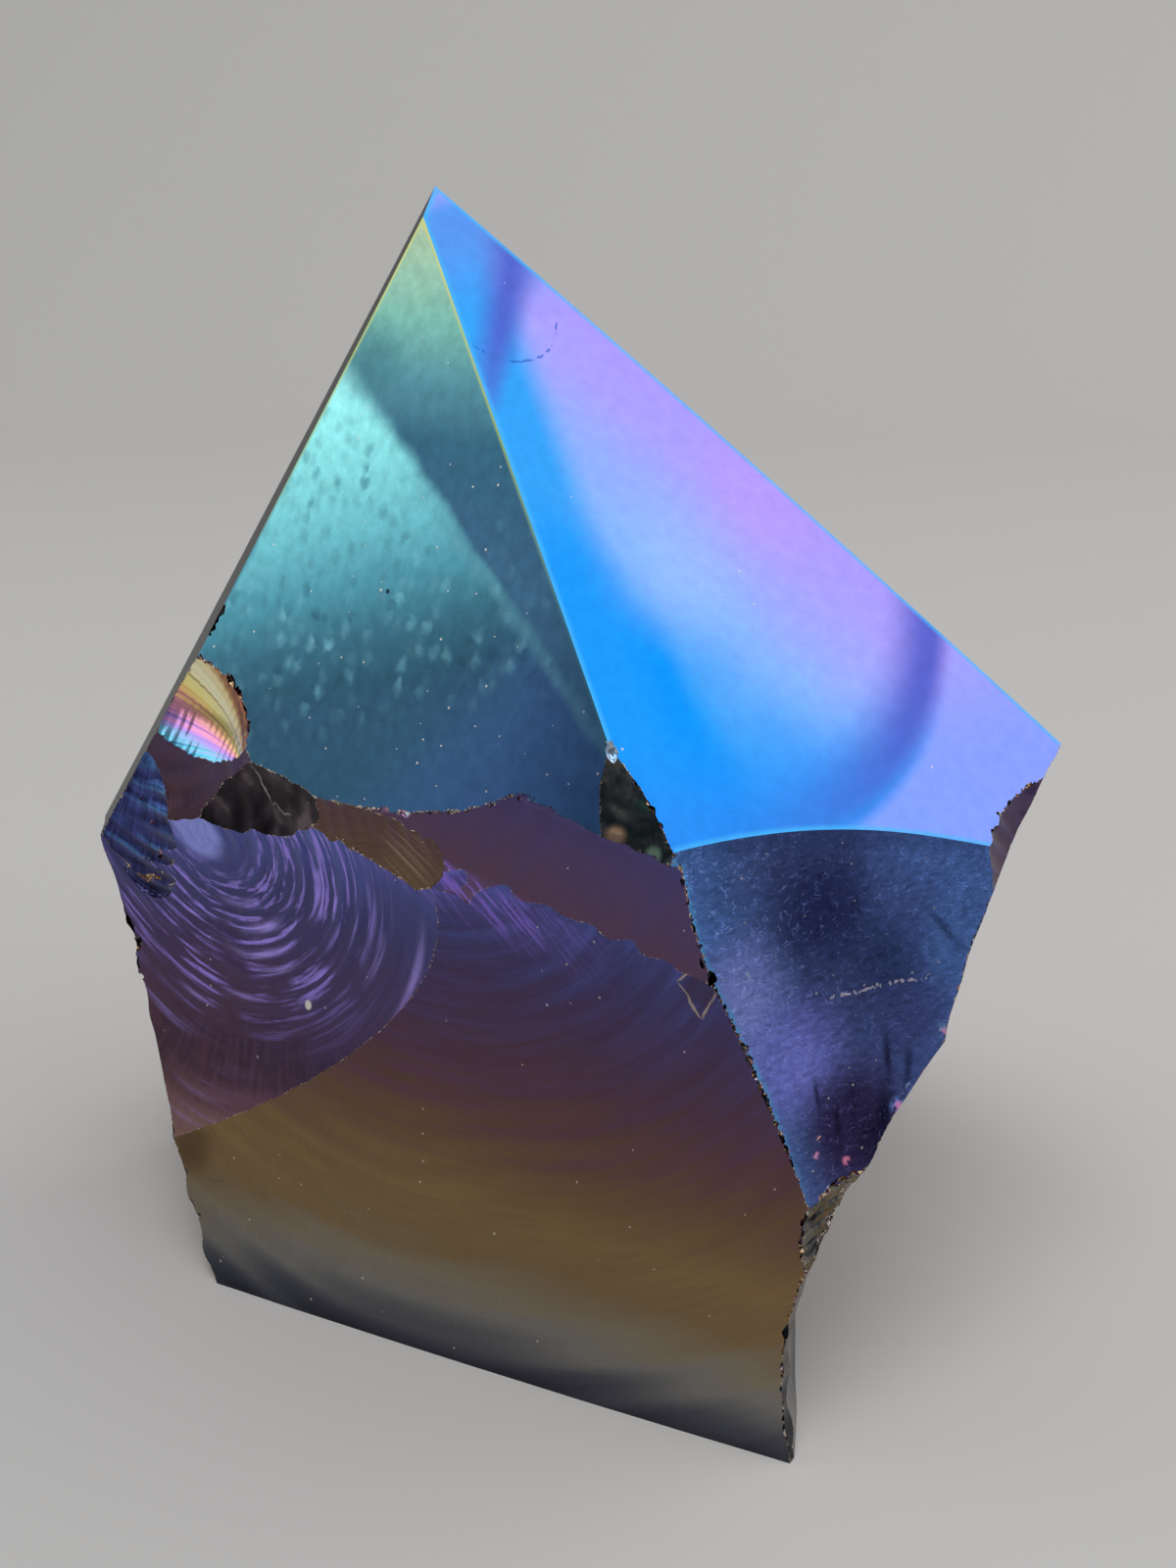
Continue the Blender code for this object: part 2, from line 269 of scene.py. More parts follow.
# %% [markdown]
# ## The relief of a sheet
#
# The height of a sheet over its flat plane adds up from simple parts. A dish is distance squared
# over twice its radius. A ripple is a wave in the distance from the strike point, whose crests are
# bent by noise, and whose height comes and goes round the ring as it does in real glass. A facet
# has no ripple, only its crown and its waver.

# %% Relief
# Millimetres a sheet rises for each time its reach is passed, so that it leaves the stone.
FLARE_RISE = 30.0
# The share of a wave that noise moves a crest, its usual strength, how far noise changes that, its
# most, its least where ripples fade, and how much sharper a crest is than a trough.
CREST_BEND, USUAL, CHANGE, MOST, LEAST, SHARPER = 0.35, 0.62, 0.75, 1.3, 0.15, 0.3


def ripple(name, across, up):
    """Sine of the distance from the strike point over the ripple's length, from -1 to 1.3.

    Noise in angle and distance bends each crest, and makes it strong here and faint there.
    """
    sheet = SHEETS[name]
    seed = ZONES.index(name)
    length, strike = sheet["ripple"][1:]
    distance = np.hypot(across - strike[0], up - strike[1])
    angle = np.arctan2(up - strike[1], across - strike[0])
    bend = sheet["wander"] * noise(3.0 * angle + 20.0, distance / (4.0 * length), seed)
    strength = USUAL + CHANGE * noise(2.6 * angle + 40.0, distance / (1.6 * length), seed + 50)
    if "fade" in sheet:
        near, far = sheet["fade"]
        strength = strength * np.clip((far - distance) / (far - near), LEAST, 1.0)
    wave = np.sin(2.0 * math.pi * (distance / length + CREST_BEND * bend))
    return np.clip(strength, 0.0, MOST) * (wave + SHARPER * wave ** 2)


def relief(name, across, up):
    """Dish + ripple + crown + waver, each as the cell above says, in mm over the flat plane."""
    sheet = SHEETS[name]
    spin = math.radians(sheet.get("spin", 0.0))
    middle_across, middle_up = sheet.get("middle", (0.0, 0.0))
    along_1 = (across - middle_across) * math.cos(spin) + (up - middle_up) * math.sin(spin)
    along_2 = (up - middle_up) * math.cos(spin) - (across - middle_across) * math.sin(spin)
    height = np.zeros_like(across)
    if sheet.get("bow_1"):
        height = height + along_1 ** 2 / (2.0 * sheet["bow_1"])
    if sheet.get("bow_2"):
        height = height + along_2 ** 2 / (2.0 * sheet["bow_2"])
    if "reach" in sheet:
        share = np.hypot(along_1 / sheet["reach"][0], along_2 / sheet["reach"][1])
        height = height + FLARE_RISE * np.maximum(share - 1.0, 0.0)
    if "crown" in sheet:
        radius, (top_across, top_up), rise = sheet["crown"]
        from_top = (across - top_across) ** 2 + (up - top_up) ** 2
        height = height + rise - from_top / (2.0 * radius)
    if "waver" in sheet:
        waver, length = sheet["waver"]
        height = height + waver * noise(across / length, up / length, ZONES.index(name))
    if "ripple" in sheet:
        height = height + sheet["ripple"][0] * ripple(name, across, up)
    return height


# %% [markdown]
# ## Cutters
#
# A sheet becomes a tool by closing it: its edge is carried outwards to a flat lid, so the solid
# holds all that the sheet strikes off. Every face of the tool is stamped with the number of its
# sheet. The Boolean copies that number to the faces it cuts, so the finished stone knows which
# sheet each of its faces came from.

# %% A cutter from a sheet
CUTTER_RISE = 60.0
cuts = bpy.data.collections.new("cuts")


def stamped_object(name, vertices, faces, zone):
    """A mesh object whose faces carry their zone number, and 0 for how bright their flake is."""
    mesh = bpy.data.meshes.new(name)
    mesh.from_pydata(vertices, [], faces)
    stamp = mesh.attributes.new("zone", "INT", "FACE")
    stamp.data.foreach_set("value", np.full(len(mesh.polygons), ZONES.index(zone), np.int32))
    mesh.attributes.new("flake", "FLOAT", "FACE")
    return bpy.data.objects.new(name, mesh)


def sheet_cutter(name):
    """Grid of across and up, lifted by the relief and closed by walls and a lid over its rim."""
    sheet = SHEETS[name]
    half_across, half_up = sheet["half"]
    columns, rows = (round(2.0 * half / sheet["cell"]) + 1 for half in (half_across, half_up))
    across, up = np.meshgrid(
        np.linspace(-half_across, half_across, columns), np.linspace(-half_up, half_up, rows),
        indexing="ij",
    )
    index = np.arange(columns * rows).reshape(columns, rows)
    rim = np.concatenate([index[:-1, 0], index[-1, :-1], index[:0:-1, -1], index[0, :0:-1]])
    height = relief(name, across, up)
    flat = np.stack([across.ravel(), up.ravel(), height.ravel()], 1)
    lid = flat[rim].copy()
    lid[:, 2] = CUTTER_RISE
    place = np.concatenate([flat, lid]) @ axes_of(name) + np.array(sheet["point"])
    quads = np.stack([index[:-1, :-1], index[:-1, 1:], index[1:, 1:], index[1:, :-1]], -1)
    lid_rim = np.arange(len(rim)) + columns * rows
    walls = np.stack([rim, np.roll(rim, -1), np.roll(lid_rim, -1), lid_rim], -1)
    faces = quads.reshape(-1, 4).tolist() + walls.tolist() + [lid_rim.tolist()]
    return stamped_object(name + "_cut", place, faces, name)


for name in SHEETS:
    cuts.objects.link(sheet_cutter(name))

# %% [markdown]
# ## Chipped edges
#
# Thin edges of glass crumble, and each crumb leaves a small flat-sided bite. So a run of shards is
# cut along every broken edge. A shard is the convex hull of a dozen points on a squashed ball, long
# in the direction of the edge, with the sharp corners of crushed glass. An edge between two
# sheets is a curve that no formula gives, so each shard starts from a guess on a straight line and
# is moved onto one sheet and then onto the other, over and over, until it lies on both.

# %% Shards along the edges
# The two sheets, the guessed start and end in layout millimetres, how many shards, their length,
# how deep they sink, and the least and most flake value, from bare black glass to a bright film.
CHIPPED_EDGES = {
    "ridge_bits": ("front_right", "ridge_chip",
        (2.4, -26.0, 52.4), (5.6, -29.0, 46.6), 7, 1.1, 0.22, (0.0, 0.9)),
    "ridge_flake": ("front_left", "front_right",
        (0.9, -25.6, 53.9), (0.7, -25.4, 54.3), 2, 3.0, 0.55, (0.985, 1.0)),
    "corner_top": ("band", "lapped",
        (6.4, -29.1, 47.0), (8.8, -29.8, 41.6), 8, 0.8, 0.16, (0.0, 1.0)),
    "corner_black": ("main_face", "lapped",
        (9.0, -30.0, 40.6), (9.6, -30.1, 39.2), 2, 1.9, 0.6, (0.0, 0.2)),
    "corner_crumbs": ("main_face", "lapped",
        (8.8, -29.8, 41.4), (15.8, -31.1, 24.0), 70, 0.62, 0.16, (0.0, 1.0)),
    "corner_shards": ("main_face", "lapped",
        (11.6, -30.5, 35.0), (15.2, -31.2, 26.0), 16, 1.25, 0.3, (0.1, 1.0)),
    "rim_side": ("lapped", "right_upper",
        (30.2, -17.2, 39.4), (28.3, -21.0, 32.0), 26, 0.7, 0.16, (0.3, 1.0)),
    "rim_crumbs": ("lapped", "under_rim",
        (27.6, -22.0, 30.6), (18.8, -30.0, 22.2), 50, 0.9, 0.26, (0.4, 1.0)),
    "rim_glints": ("lapped", "crumble",
        (15.6, -31.0, 25.4), (22.0, -26.4, 24.6), 40, 0.9, 0.24, (0.5, 1.0)),
    "crumble_bits": ("main_face", "crumble",
        (15.4, -31.2, 24.0), (15.4, -31.2, 17.0), 24, 1.0, 0.25, (0.2, 1.0)),
    "band_top": ("front_left", "band",
        (-17.0, -14.0, 46.4), (-2.0, -25.6, 47.6), 14, 0.6, 0.14, (0.3, 1.0)),
    "band_feather": ("front_left", "band",
        (-15.6, -15.4, 47.0), (-12.6, -17.6, 47.4), 6, 1.2, 0.2, (0.86, 1.0)),
    "band_glint": ("front_left", "band",
        (-7.4, -21.4, 48.0), (-6.2, -22.2, 48.0), 2, 1.0, 0.2, (0.93, 1.0)),
    "left_knobs": ("scallop", "left_wall",
        (-40.6, 2.0, 31.0), (-41.0, 5.5, 22.0), 9, 2.6, 0.6, (0.1, 0.85)),
    "left_crumbs": ("left_strip", "left_wall",
        (-40.8, 4.0, 43.0), (-39.6, 4.0, 32.0), 30, 1.2, 0.32, (0.2, 1.0)),
    "strip_glints": ("scallop", "left_strip",
        (-36.0, -1.0, 44.0), (-37.0, 2.6, 33.0), 16, 0.9, 0.2, (0.4, 1.0)),
    "strip_foot": ("scallop", "left_strip",
        (-39.4, 3.6, 31.8), (-37.2, 2.2, 32.4), 5, 1.8, 0.35, (0.6, 0.95)),
    "foot_left": ("main_face", "left_wall",
        (-36.0, -6.0, 17.0), (-34.0, -8.6, 5.0), 9, 2.0, 0.35, (0.1, 0.6)),
    "foot_corner": ("main_face", "corner_strip",
        (15.2, -31.2, 20.0), (14.4, -31.8, 1.0), 56, 0.7, 0.2, (0.1, 1.0)),
    "black_chip": ("main_face", "corner_strip",
        (14.3, -31.2, 10.6), (14.3, -31.2, 9.2), 2, 3.2, 0.9, (0.0, 0.1)),
    "top_left": ("front_left", "left_edge",
        (-31.4, 0.4, 55.6), (-30.6, -0.8, 58.4), 4, 2.2, 0.6, (0.0, 0.35)),
    "chip_crown": ("front_left", "bright_chip",
        (-31.2, 0.6, 53.8), (-29.8, -1.2, 52.8), 8, 1.0, 0.3, (0.75, 1.0)),
    "chip_lip": ("front_left", "bright_chip",
        (-29.6, -1.6, 52.6), (-26.8, -5.6, 48.6), 14, 1.3, 0.35, (0.3, 0.9)),
    "notch_lip": ("front_right", "notch",
        (31.2, -15.4, 44.4), (37.2, -8.0, 46.8), 20, 0.8, 0.18, (0.3, 1.0)),
}
CHIP_SEED = 7
HULL_POINTS = 13
EDGE_ROUNDS = 20
SHARD_SWAY = 0.35
# The least and most share: of its length, of its width and height to that, and of its depth.
LENGTHS, WIDTHS, HEIGHTS, DEPTHS = (0.45, 1.3), (0.4, 0.7), (0.35, 0.6), (0.3, 1.0)


def on_edge(places, first, second):
    """Move each place outwards by its gap to one sheet, then by its gap to the other, in turn."""
    for name in (first, second) * EDGE_ROUNDS:
        sideways, upward, outward = axes_of(name)
        local = places - np.array(SHEETS[name]["point"])
        gap = local @ outward - relief(name, local @ sideways, local @ upward)
        places = places - gap[:, None] * outward
    return places


def shard(name, middle, axes, reach, flakes):
    """Convex hull of points at reach times a unit ball along three axes. Each side is one flake."""
    ball = chooser.normal(size=(HULL_POINTS, 3))
    ball = ball / np.linalg.norm(ball, axis=1)[:, None]
    bm = bmesh.new()
    for point in (ball * reach) @ axes + middle:
        bm.verts.new(point)
    bmesh.ops.convex_hull(bm, input=bm.verts)
    bmesh.ops.recalc_face_normals(bm, faces=bm.faces)
    bm.verts.index_update()
    corners = [[vert.index for vert in face.verts] for face in bm.faces]
    piece = stamped_object(name, [vert.co[:] for vert in bm.verts], corners, "chip")
    bm.free()
    shine = chooser.uniform(*flakes, len(corners)).astype(np.float32)
    piece.data.attributes["flake"].data.foreach_set("value", shine)
    return piece


chooser = np.random.default_rng(CHIP_SEED)
bites = 0
for name, (first, second, start, end, count, length, depth, flakes) in CHIPPED_EDGES.items():
    outward = axes_of(first)[2] + axes_of(second)[2]
    outward = outward / np.linalg.norm(outward)
    shares = (np.arange(count) + chooser.uniform(-0.5, 1.5, count)).clip(0.0, count) / count
    run = np.array(end) - np.array(start)
    places = on_edge(np.array(start) + run * shares[:, None], first, second)
    for bite, place in enumerate(places):
        along = run / np.linalg.norm(run) + SHARD_SWAY * chooser.normal(size=3)
        across = np.cross(outward, along)
        axes = np.stack([along, across, np.cross(along, across)])
        axes = axes / np.linalg.norm(axes, axis=1)[:, None]
        size = length * chooser.uniform(*LENGTHS)
        reach = 0.5 * size * np.array([1.0, chooser.uniform(*WIDTHS), chooser.uniform(*HEIGHTS)])
        lift = 0.5 * float(np.abs(axes @ outward) @ reach) - depth * chooser.uniform(*DEPTHS)
        cuts.objects.link(shard(f"{name}_{bite}", place + outward * lift, axes, reach, flakes))
        bites += 1
print("shards:", bites)

# %% [markdown]
# ## Cut the stone
#
# One Boolean takes all the tools out of a plain block at once. The Manifold solver is the right one
# here: every tool is a closed solid, there are hundreds of thousands of faces, and it is done in a
# second or two where the Exact solver would take many minutes.

# %% The block and the cut
BLOCK_HALF_WIDTH, BLOCK_HALF_DEPTH, BLOCK_HEIGHT = 46.0, 40.0, 95.0
block_points = [
    (x, y, z)
    for z in (0.0, BLOCK_HEIGHT)
    for y in (-BLOCK_HALF_DEPTH, BLOCK_HALF_DEPTH)
    for x in (-BLOCK_HALF_WIDTH, BLOCK_HALF_WIDTH)
]
block_faces = [(0, 2, 3, 1), (4, 5, 7, 6), (0, 1, 5, 4), (1, 3, 7, 5), (3, 2, 6, 7), (2, 0, 4, 6)]
stone = stamped_object("aura_obsidian", block_points, block_faces, "foot")
bpy.context.scene.collection.objects.link(stone)
bpy.context.scene.collection.children.link(cuts)

cut = stone.modifiers.new("cut", "BOOLEAN")
cut.operation, cut.solver = "DIFFERENCE", "MANIFOLD"
cut.operand_type, cut.collection = "COLLECTION", cuts
evaluated = stone.evaluated_get(bpy.context.evaluated_depsgraph_get())
finished = bpy.data.meshes.new_from_object(evaluated)
stone.modifiers.clear()
print("faces after the cut:", len(finished.polygons))

# %% [markdown]
# ## Weld, and keep the one solid
#
# Where three sheets meet, a Boolean leaves needle-thin faces. Points closer than a few thousandths
# of a millimetre are welded. A bite can also cut a crumb free of the edge, so only the body with
# the most points is kept: each point takes the lowest number it can reach along edges, and points
# with the same number belong together.

# %% Weld and drop loose crumbs
WELD_DISTANCE = 0.006


def values_of(items, attribute, kind=np.int32, width=1):
    """One value of each item as an array, or a row of width values for each."""
    values = np.empty(len(items) * width, kind)
    items.foreach_get(attribute, values)
    return values.reshape(-1, width) if width > 1 else values


bm = bmesh.new()
bm.from_mesh(finished)
bmesh.ops.remove_doubles(bm, verts=bm.verts, dist=WELD_DISTANCE)
bmesh.ops.dissolve_degenerate(bm, edges=bm.edges, dist=WELD_DISTANCE)
bm.to_mesh(finished)
one_end, other_end = values_of(finished.edges, "vertices", width=2).T
body = np.arange(len(finished.vertices))
changed = True
while changed:
    lowest = body.copy()
    np.minimum.at(lowest, one_end, body[other_end])
    np.minimum.at(lowest, other_end, body[one_end])
    lowest = lowest[lowest]
    changed = bool((lowest != body).any())
    body = lowest
loose = np.flatnonzero(body != np.bincount(body).argmax())
bm.verts.ensure_lookup_table()
crumbs = [bm.verts[number] for number in loose.tolist()]
bmesh.ops.delete(bm, geom=crumbs, context="VERTS")
bm.to_mesh(finished)
bm.free()
print("loose crumb points dropped:", len(crumbs), "faces left:", len(finished.polygons))

# %% [markdown]
# ## How far each point is from an edge
#
# Two things happen along edges. Where two polished facets meet, the polish rounds the edge over, so
# it catches a thin line of light, which is painted in as a highlight. Where a break meets anything,
# the glass is bruised and pale. Both need the distance to the nearest edge. The sheets give it: a
# point lies on its own sheet and some way inside every other one, and that gap divided by the sine
# of the angle between the two sheets is the distance to where they meet.

# %% Distances to the edges
FAR_FROM_EDGE = 6.0
SMALLEST_SINE_SQUARED = 0.003
count = len(finished.vertices)
points = values_of(finished.vertices, "co", float, width=3)
frames = {name: axes_of(name) for name in SHEETS}
outside = np.full((len(SHEETS), count), -np.inf)
for row, (name, sheet) in enumerate(SHEETS.items()):
    across, up, out = frames[name] @ (points - np.array(sheet["point"])).T
    covered = (np.abs(across) < sheet["half"][0]) & (np.abs(up) < sheet["half"][1])
    outside[row, covered] = (out - relief(name, across, up))[covered]
own = outside.argmax(axis=0)
normals = np.stack([frames[name][2] for name in SHEETS])
sines = np.sqrt(np.maximum(1.0 - (normals @ normals.T) ** 2, SMALLEST_SINE_SQUARED))
away = -outside / sines[own].T
away[own, np.arange(count)] = np.inf
is_polished = np.array([name in FACETS for name in SHEETS])
both_polished = is_polished[:, None] & is_polished[own][None, :]
lip, crush = (
    np.where(kind, away, FAR_FROM_EDGE).min(axis=0).clip(0.0, FAR_FROM_EDGE)
    for kind in (both_polished, ~both_polished)
)
crest = np.zeros(count)
for name in SCARS:
    mine = own == list(SHEETS).index(name)
    local = frames[name] @ (points[mine] - np.array(SHEETS[name]["point"])).T
    crest[mine] = ripple(name, local[0], local[1])
for label, values in (("lip", lip), ("crush", crush), ("crest", crest)):
    attribute = finished.attributes.new(label, "FLOAT", "POINT")
    attribute.data.foreach_set("value", values.astype(np.float32))
print("points within 0.5 mm of a broken edge:", int((crush < 0.5).sum()))

# %% [markdown]
# ## Into the frame
#
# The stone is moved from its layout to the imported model's frame and turned into metres, in its
# mesh, so that its object stays at the origin. An edge between two sheets is marked sharp and
# everything else is shaded smooth, so ripples are round and edges stay crisp. The stone stands for
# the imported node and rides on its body.

# %% Place, shade and attach
finished.transform(Matrix.Translation(LAYOUT_ORIGIN * MM) @ Matrix.Scale(MM, 4))
stone.data = finished
bpy.data.collections.remove(cuts)

# Two faces belong to one surface if they have the same zone and the same flake value.
FLAKE_STEPS, MOST_ZONES = 5000.0, 100
zone_of_face = values_of(finished.attributes["zone"].data, "value")
flake_of_face = values_of(finished.attributes["flake"].data, "value", np.float32)
edge_of_corner = values_of(finished.loops, "edge_index")
flake_step = np.round(flake_of_face * FLAKE_STEPS).astype(np.int32)
surface_of_face = zone_of_face + flake_step * MOST_ZONES
surface_of_corner = np.repeat(surface_of_face, values_of(finished.polygons, "loop_total"))
lowest = np.full(len(finished.edges), np.iinfo(np.int32).max, np.int32)
highest = np.full(len(finished.edges), -1, np.int32)
np.minimum.at(lowest, edge_of_corner, surface_of_corner)
np.maximum.at(highest, edge_of_corner, surface_of_corner)
attributes = finished.attributes
sharp = attributes.get("sharp_edge") or attributes.new("sharp_edge", "BOOLEAN", "EDGE")
sharp.data.foreach_set("value", lowest != highest)
finished.polygons.foreach_set("use_smooth", np.ones(len(finished.polygons), bool))
finished.update()

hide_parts("obsidian_point")
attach(stone, "root")
print("sharp edges:", int((lowest != highest).sum()), "of", len(finished.edges))

# %% [markdown]
# ## Paint helpers
#
# Every finish below is built from nodes. Colours are written as sRGB hex, the way a paint chart
# gives them, and one function turns them to the linear values that Blender mixes. One more adds a
# node with its settings and links. A third gives the place of each point on a sheet in
# millimetres, so a streak can be put 12 mm below the tip by writing 12.


# %% Colour, nodes and places
def linear(hex_colour):
    """sRGB to linear: divide small values by 12.92, and raise the rest to the power 2.4."""
    parts = [int(hex_colour[start:start + 2], 16) / 255.0 for start in (1, 3, 5)]
    return [
        part / 12.92 if part <= 0.04045 else ((part + 0.055) / 1.055) ** 2.4 for part in parts
    ] + [1.0]


def fill(tree, socket, value):
    """Link a node's output to a socket, or set a constant on it. A string is a hex colour."""
    if isinstance(value, bpy.types.NodeSocket):
        tree.links.new(value, socket)
    elif value is not None:
        socket.default_value = linear(value) if isinstance(value, str) else value


def add(tree, kind, *inputs, output=0, stops=None, **named):
    """Add a node, set it up, fill its inputs and return one of its outputs.

    A name with a capital letter is an input, and one with a small letter is a setting.
    """
    node = tree.nodes.new("ShaderNode" + kind)
    settings = {name: value for name, value in named.items() if name[0].islower()}
    for name, value in settings.items():
        setattr(node, name, value)
    for key, value in {**dict(enumerate(inputs)), **named}.items():
        if key not in settings:
            fill(tree, node.inputs[key], value)
    if stops:
        elements = node.color_ramp.elements
        elements[0].position, elements[0].color = stops[0][0], linear(stops[0][1])
        elements[1].position, elements[1].color = stops[-1][0], linear(stops[-1][1])
        for position, colour in stops[1:-1]:
            elements.new(position).color = linear(colour)
    return node.outputs[output]


def place_on(tree, name):
    """Object coordinates seen from a sheet: millimetres across it, up it, and both with out."""
    place = add(
        tree, "Mapping", add(tree, "TexCoord", output="Object"), vector_type="TEXTURE",
        Location=(Vector(SHEETS[name]["point"]) + LAYOUT_ORIGIN) * MM,
        Rotation=Matrix(axes_of(name).T.tolist()).to_euler(), Scale=(MM, MM, MM),
    )
    split = add(tree, "SeparateXYZ", place).node.outputs
    return split["X"], split["Y"], place


materials = {}


def finish_called(name, zone):
    """An empty material for a zone, with one Principled shader. Returns its tree."""
    materials[zone] = bpy.data.materials.new(name)
    materials[zone].use_nodes = True
    return materials[zone].node_tree


def surface(tree, colour, roughness=None, bump=None, metallic=1.0, invert=False):
    """Join the paint to the shader. A bump is its height, strength and distance in metres."""
    if bump:
        height, strength, distance = bump
        bump = add(
            tree, "Bump", Height=height, Strength=strength, Distance=distance, invert=invert
        )
    inputs = {"Base Color": colour, "Metallic": metallic, "Roughness": roughness, "Normal": bump}
    for name, value in inputs.items():
        fill(tree, tree.nodes["Principled BSDF"].inputs[name], value)


print("a mid blue in linear light:", [round(part, 3) for part in linear("#1c98fb")])

# %% [markdown]
# ## Masks and tints
#
# Paint goes on in layers, each through a mask that is 1 where it covers and 0 where it doesn't.
# Most masks are soft steps: a distance that passes from one value to another. Where several have
# to hold at once they are multiplied. Two kinds of mark come up again and again, a soft round
# patch and a soft line, and both are made from distances in millimetres.


# %% Masks and tints
def total(tree, start, *terms):
    """The start plus each term, which is a value times its weight."""
    for value, weight in terms:
        start = add(tree, "Math", value, weight, start, operation="MULTIPLY_ADD")
    return start


def apart(tree, value, other):
    """How far two values are from each other, always positive."""
    return add(
        tree, "Math", add(tree, "Math", value, other, operation="SUBTRACT"), operation="ABSOLUTE"
    )


def overlap(tree, *masks):
    """Masks multiplied. One written (value, start, end, low, high) is a soft step, else 0 to 1."""
    product = None
    for mask in masks:
        if isinstance(mask, tuple):
            value, start, end, low, high = (*mask, 0.0, 1.0)[:5]
            mask = add(
                tree, "MapRange", value, start, end, low, high, interpolation_type="SMOOTHSTEP"
            )
        if product is not None:
            mask = add(tree, "Math", product, mask, operation="MULTIPLY")
        product = mask
    return product


def tinted(tree, colour, tint, *masks):
    """The colour with a tint over it where every mask is 1."""
    number_and_vector_inputs = [None] * 5
    return add(
        tree, "Mix", overlap(tree, *masks), *number_and_vector_inputs, colour, tint,
        output=2, data_type="RGBA",
    )


def mottled(tree, colour, value, start, end, low, high):
    """The colour times low where the value is at its start, up to high at its end."""
    light = add(tree, "MapRange", value, start, end, low, high)
    return add(tree, "VectorMath", colour, Scale=light, operation="SCALE")


def patch(tree, place, middle, inner, outer):
    """1 within inner mm of the middle, measured along the sheet, falling to 0 at outer mm."""
    flat = add(tree, "VectorMath", place, (1.0, 1.0, 0.0), operation="MULTIPLY")
    middle = (*middle, 0.0)
    distance = add(tree, "VectorMath", flat, middle, output="Value", operation="DISTANCE")
    return overlap(tree, (distance, inner, outer, 1.0, 0.0))


def line(tree, place, start, end, width, soften=0.15):
    """1 on the line from start to end, 0 width mm away from it or past its ends."""
    length = math.dist(start, end)
    run_across, run_up = (end[0] - start[0]) / length, (end[1] - start[1]) / length
    from_start = add(tree, "VectorMath", place, (*start, 0.0), operation="SUBTRACT")
    split = add(tree, "SeparateXYZ", from_start).node.outputs
    along = total(tree, 0.0, (split["X"], run_across), (split["Y"], run_up))
    aside = apart(tree, total(tree, 0.0, (split["X"], -run_up), (split["Y"], run_across)), 0.0)
    begun = add(tree, "MapRange", along, 0.0, soften * length)
    ended = add(tree, "MapRange", along, (1.0 - soften) * length, length, 1.0, 0.0)
    return overlap(tree, (aside, 0.0, width, 1.0, 0.0), begun, ended)


def spotted(tree, place, colour, spots, through=1.0):
    """Patches over a colour. A row is middle, inner, outer, strength and tint."""
    for middle, inner, outer, strength, tint in spots:
        mask = patch(tree, place, middle, inner, outer)
        colour = tinted(tree, colour, tint, mask, strength, through)
    return colour


def scored(tree, place, colour, lines, soften=0.15):
    """Lines over a colour. A row is start, end, width, strength and tint."""
    for start, end, width, strength, tint in lines:
        mask = line(tree, place, start, end, width, soften)
        colour = tinted(tree, colour, tint, mask, strength)
    return colour


def ragged(tree, distance, noise_value, none_below, full_above, width):
    """1 where the distance is less than a width that grows from 0 to width with the noise."""
    limit = add(tree, "MapRange", noise_value, none_below, full_above, 0.0, width)
    return add(tree, "Math", distance, limit, operation="LESS_THAN")


def bent(tree, place, scale, amount):
    """The place moved along its sheet by up to half the amount, in mm, by noise."""
    bend = add(tree, "TexNoise", Vector=place, Scale=scale, output="Color")
    bend = add(tree, "VectorMath", bend, (0.5, 0.5, 0.5), operation="SUBTRACT")
    return add(tree, "VectorMath", bend, (amount, amount, 0.0), place, operation="MULTIPLY_ADD")


# %% [markdown]
# ## Dust and bruised edges
#
# A dark glossy stone shows every speck of dust, and its broken edges are crushed to a pale powder.
# A speck is the middle of a Voronoi cell: one cell every 2.4 mm, and a speck 0.1 to 0.2 mm across
# in a few of them. The bruise follows the crush distance, broken up by noise 0.8 mm across.


# %% Dust and bruise
def weathered(tree, place, colour, bruise="#8c7a6c", reach=0.22, dust=0.14):
    """Film colour, then pale bruise where crush is less than reach times noise, then specks."""
    crush = add(tree, "Attribute", output="Fac", attribute_name="crush")
    rough_edge = add(tree, "TexNoise", Vector=place, Scale=1.3, Detail=4.0, Roughness=0.75)
    bruised = ragged(tree, crush, rough_edge, 0.48, 0.70, reach)
    glint = add(tree, "TexNoise", Vector=place, Scale=6.0, Detail=1.0)
    powder_chart = [(0.40, "#1a1714"), (0.52, bruise), (0.66, "#e8dcc8")]
    powder = add(tree, "ValToRGB", glint, stops=powder_chart)
    colour = tinted(tree, colour, powder, bruised)
    cells = add(tree, "TexVoronoi", place, Scale=0.42, voronoi_dimensions="2D").node.outputs
    chance = add(tree, "SeparateColor", cells["Color"]).node.outputs
    kept = add(tree, "Math", chance["Red"], dust, operation="LESS_THAN")
    wide = add(tree, "MapRange", chance["Green"], 0.0, 1.0, 0.018, 0.045)
    speck = add(tree, "Math", cells["Distance"], wide, operation="LESS_THAN")
    return tinted(tree, colour, "#d8cfc8", speck, kept, 0.75)
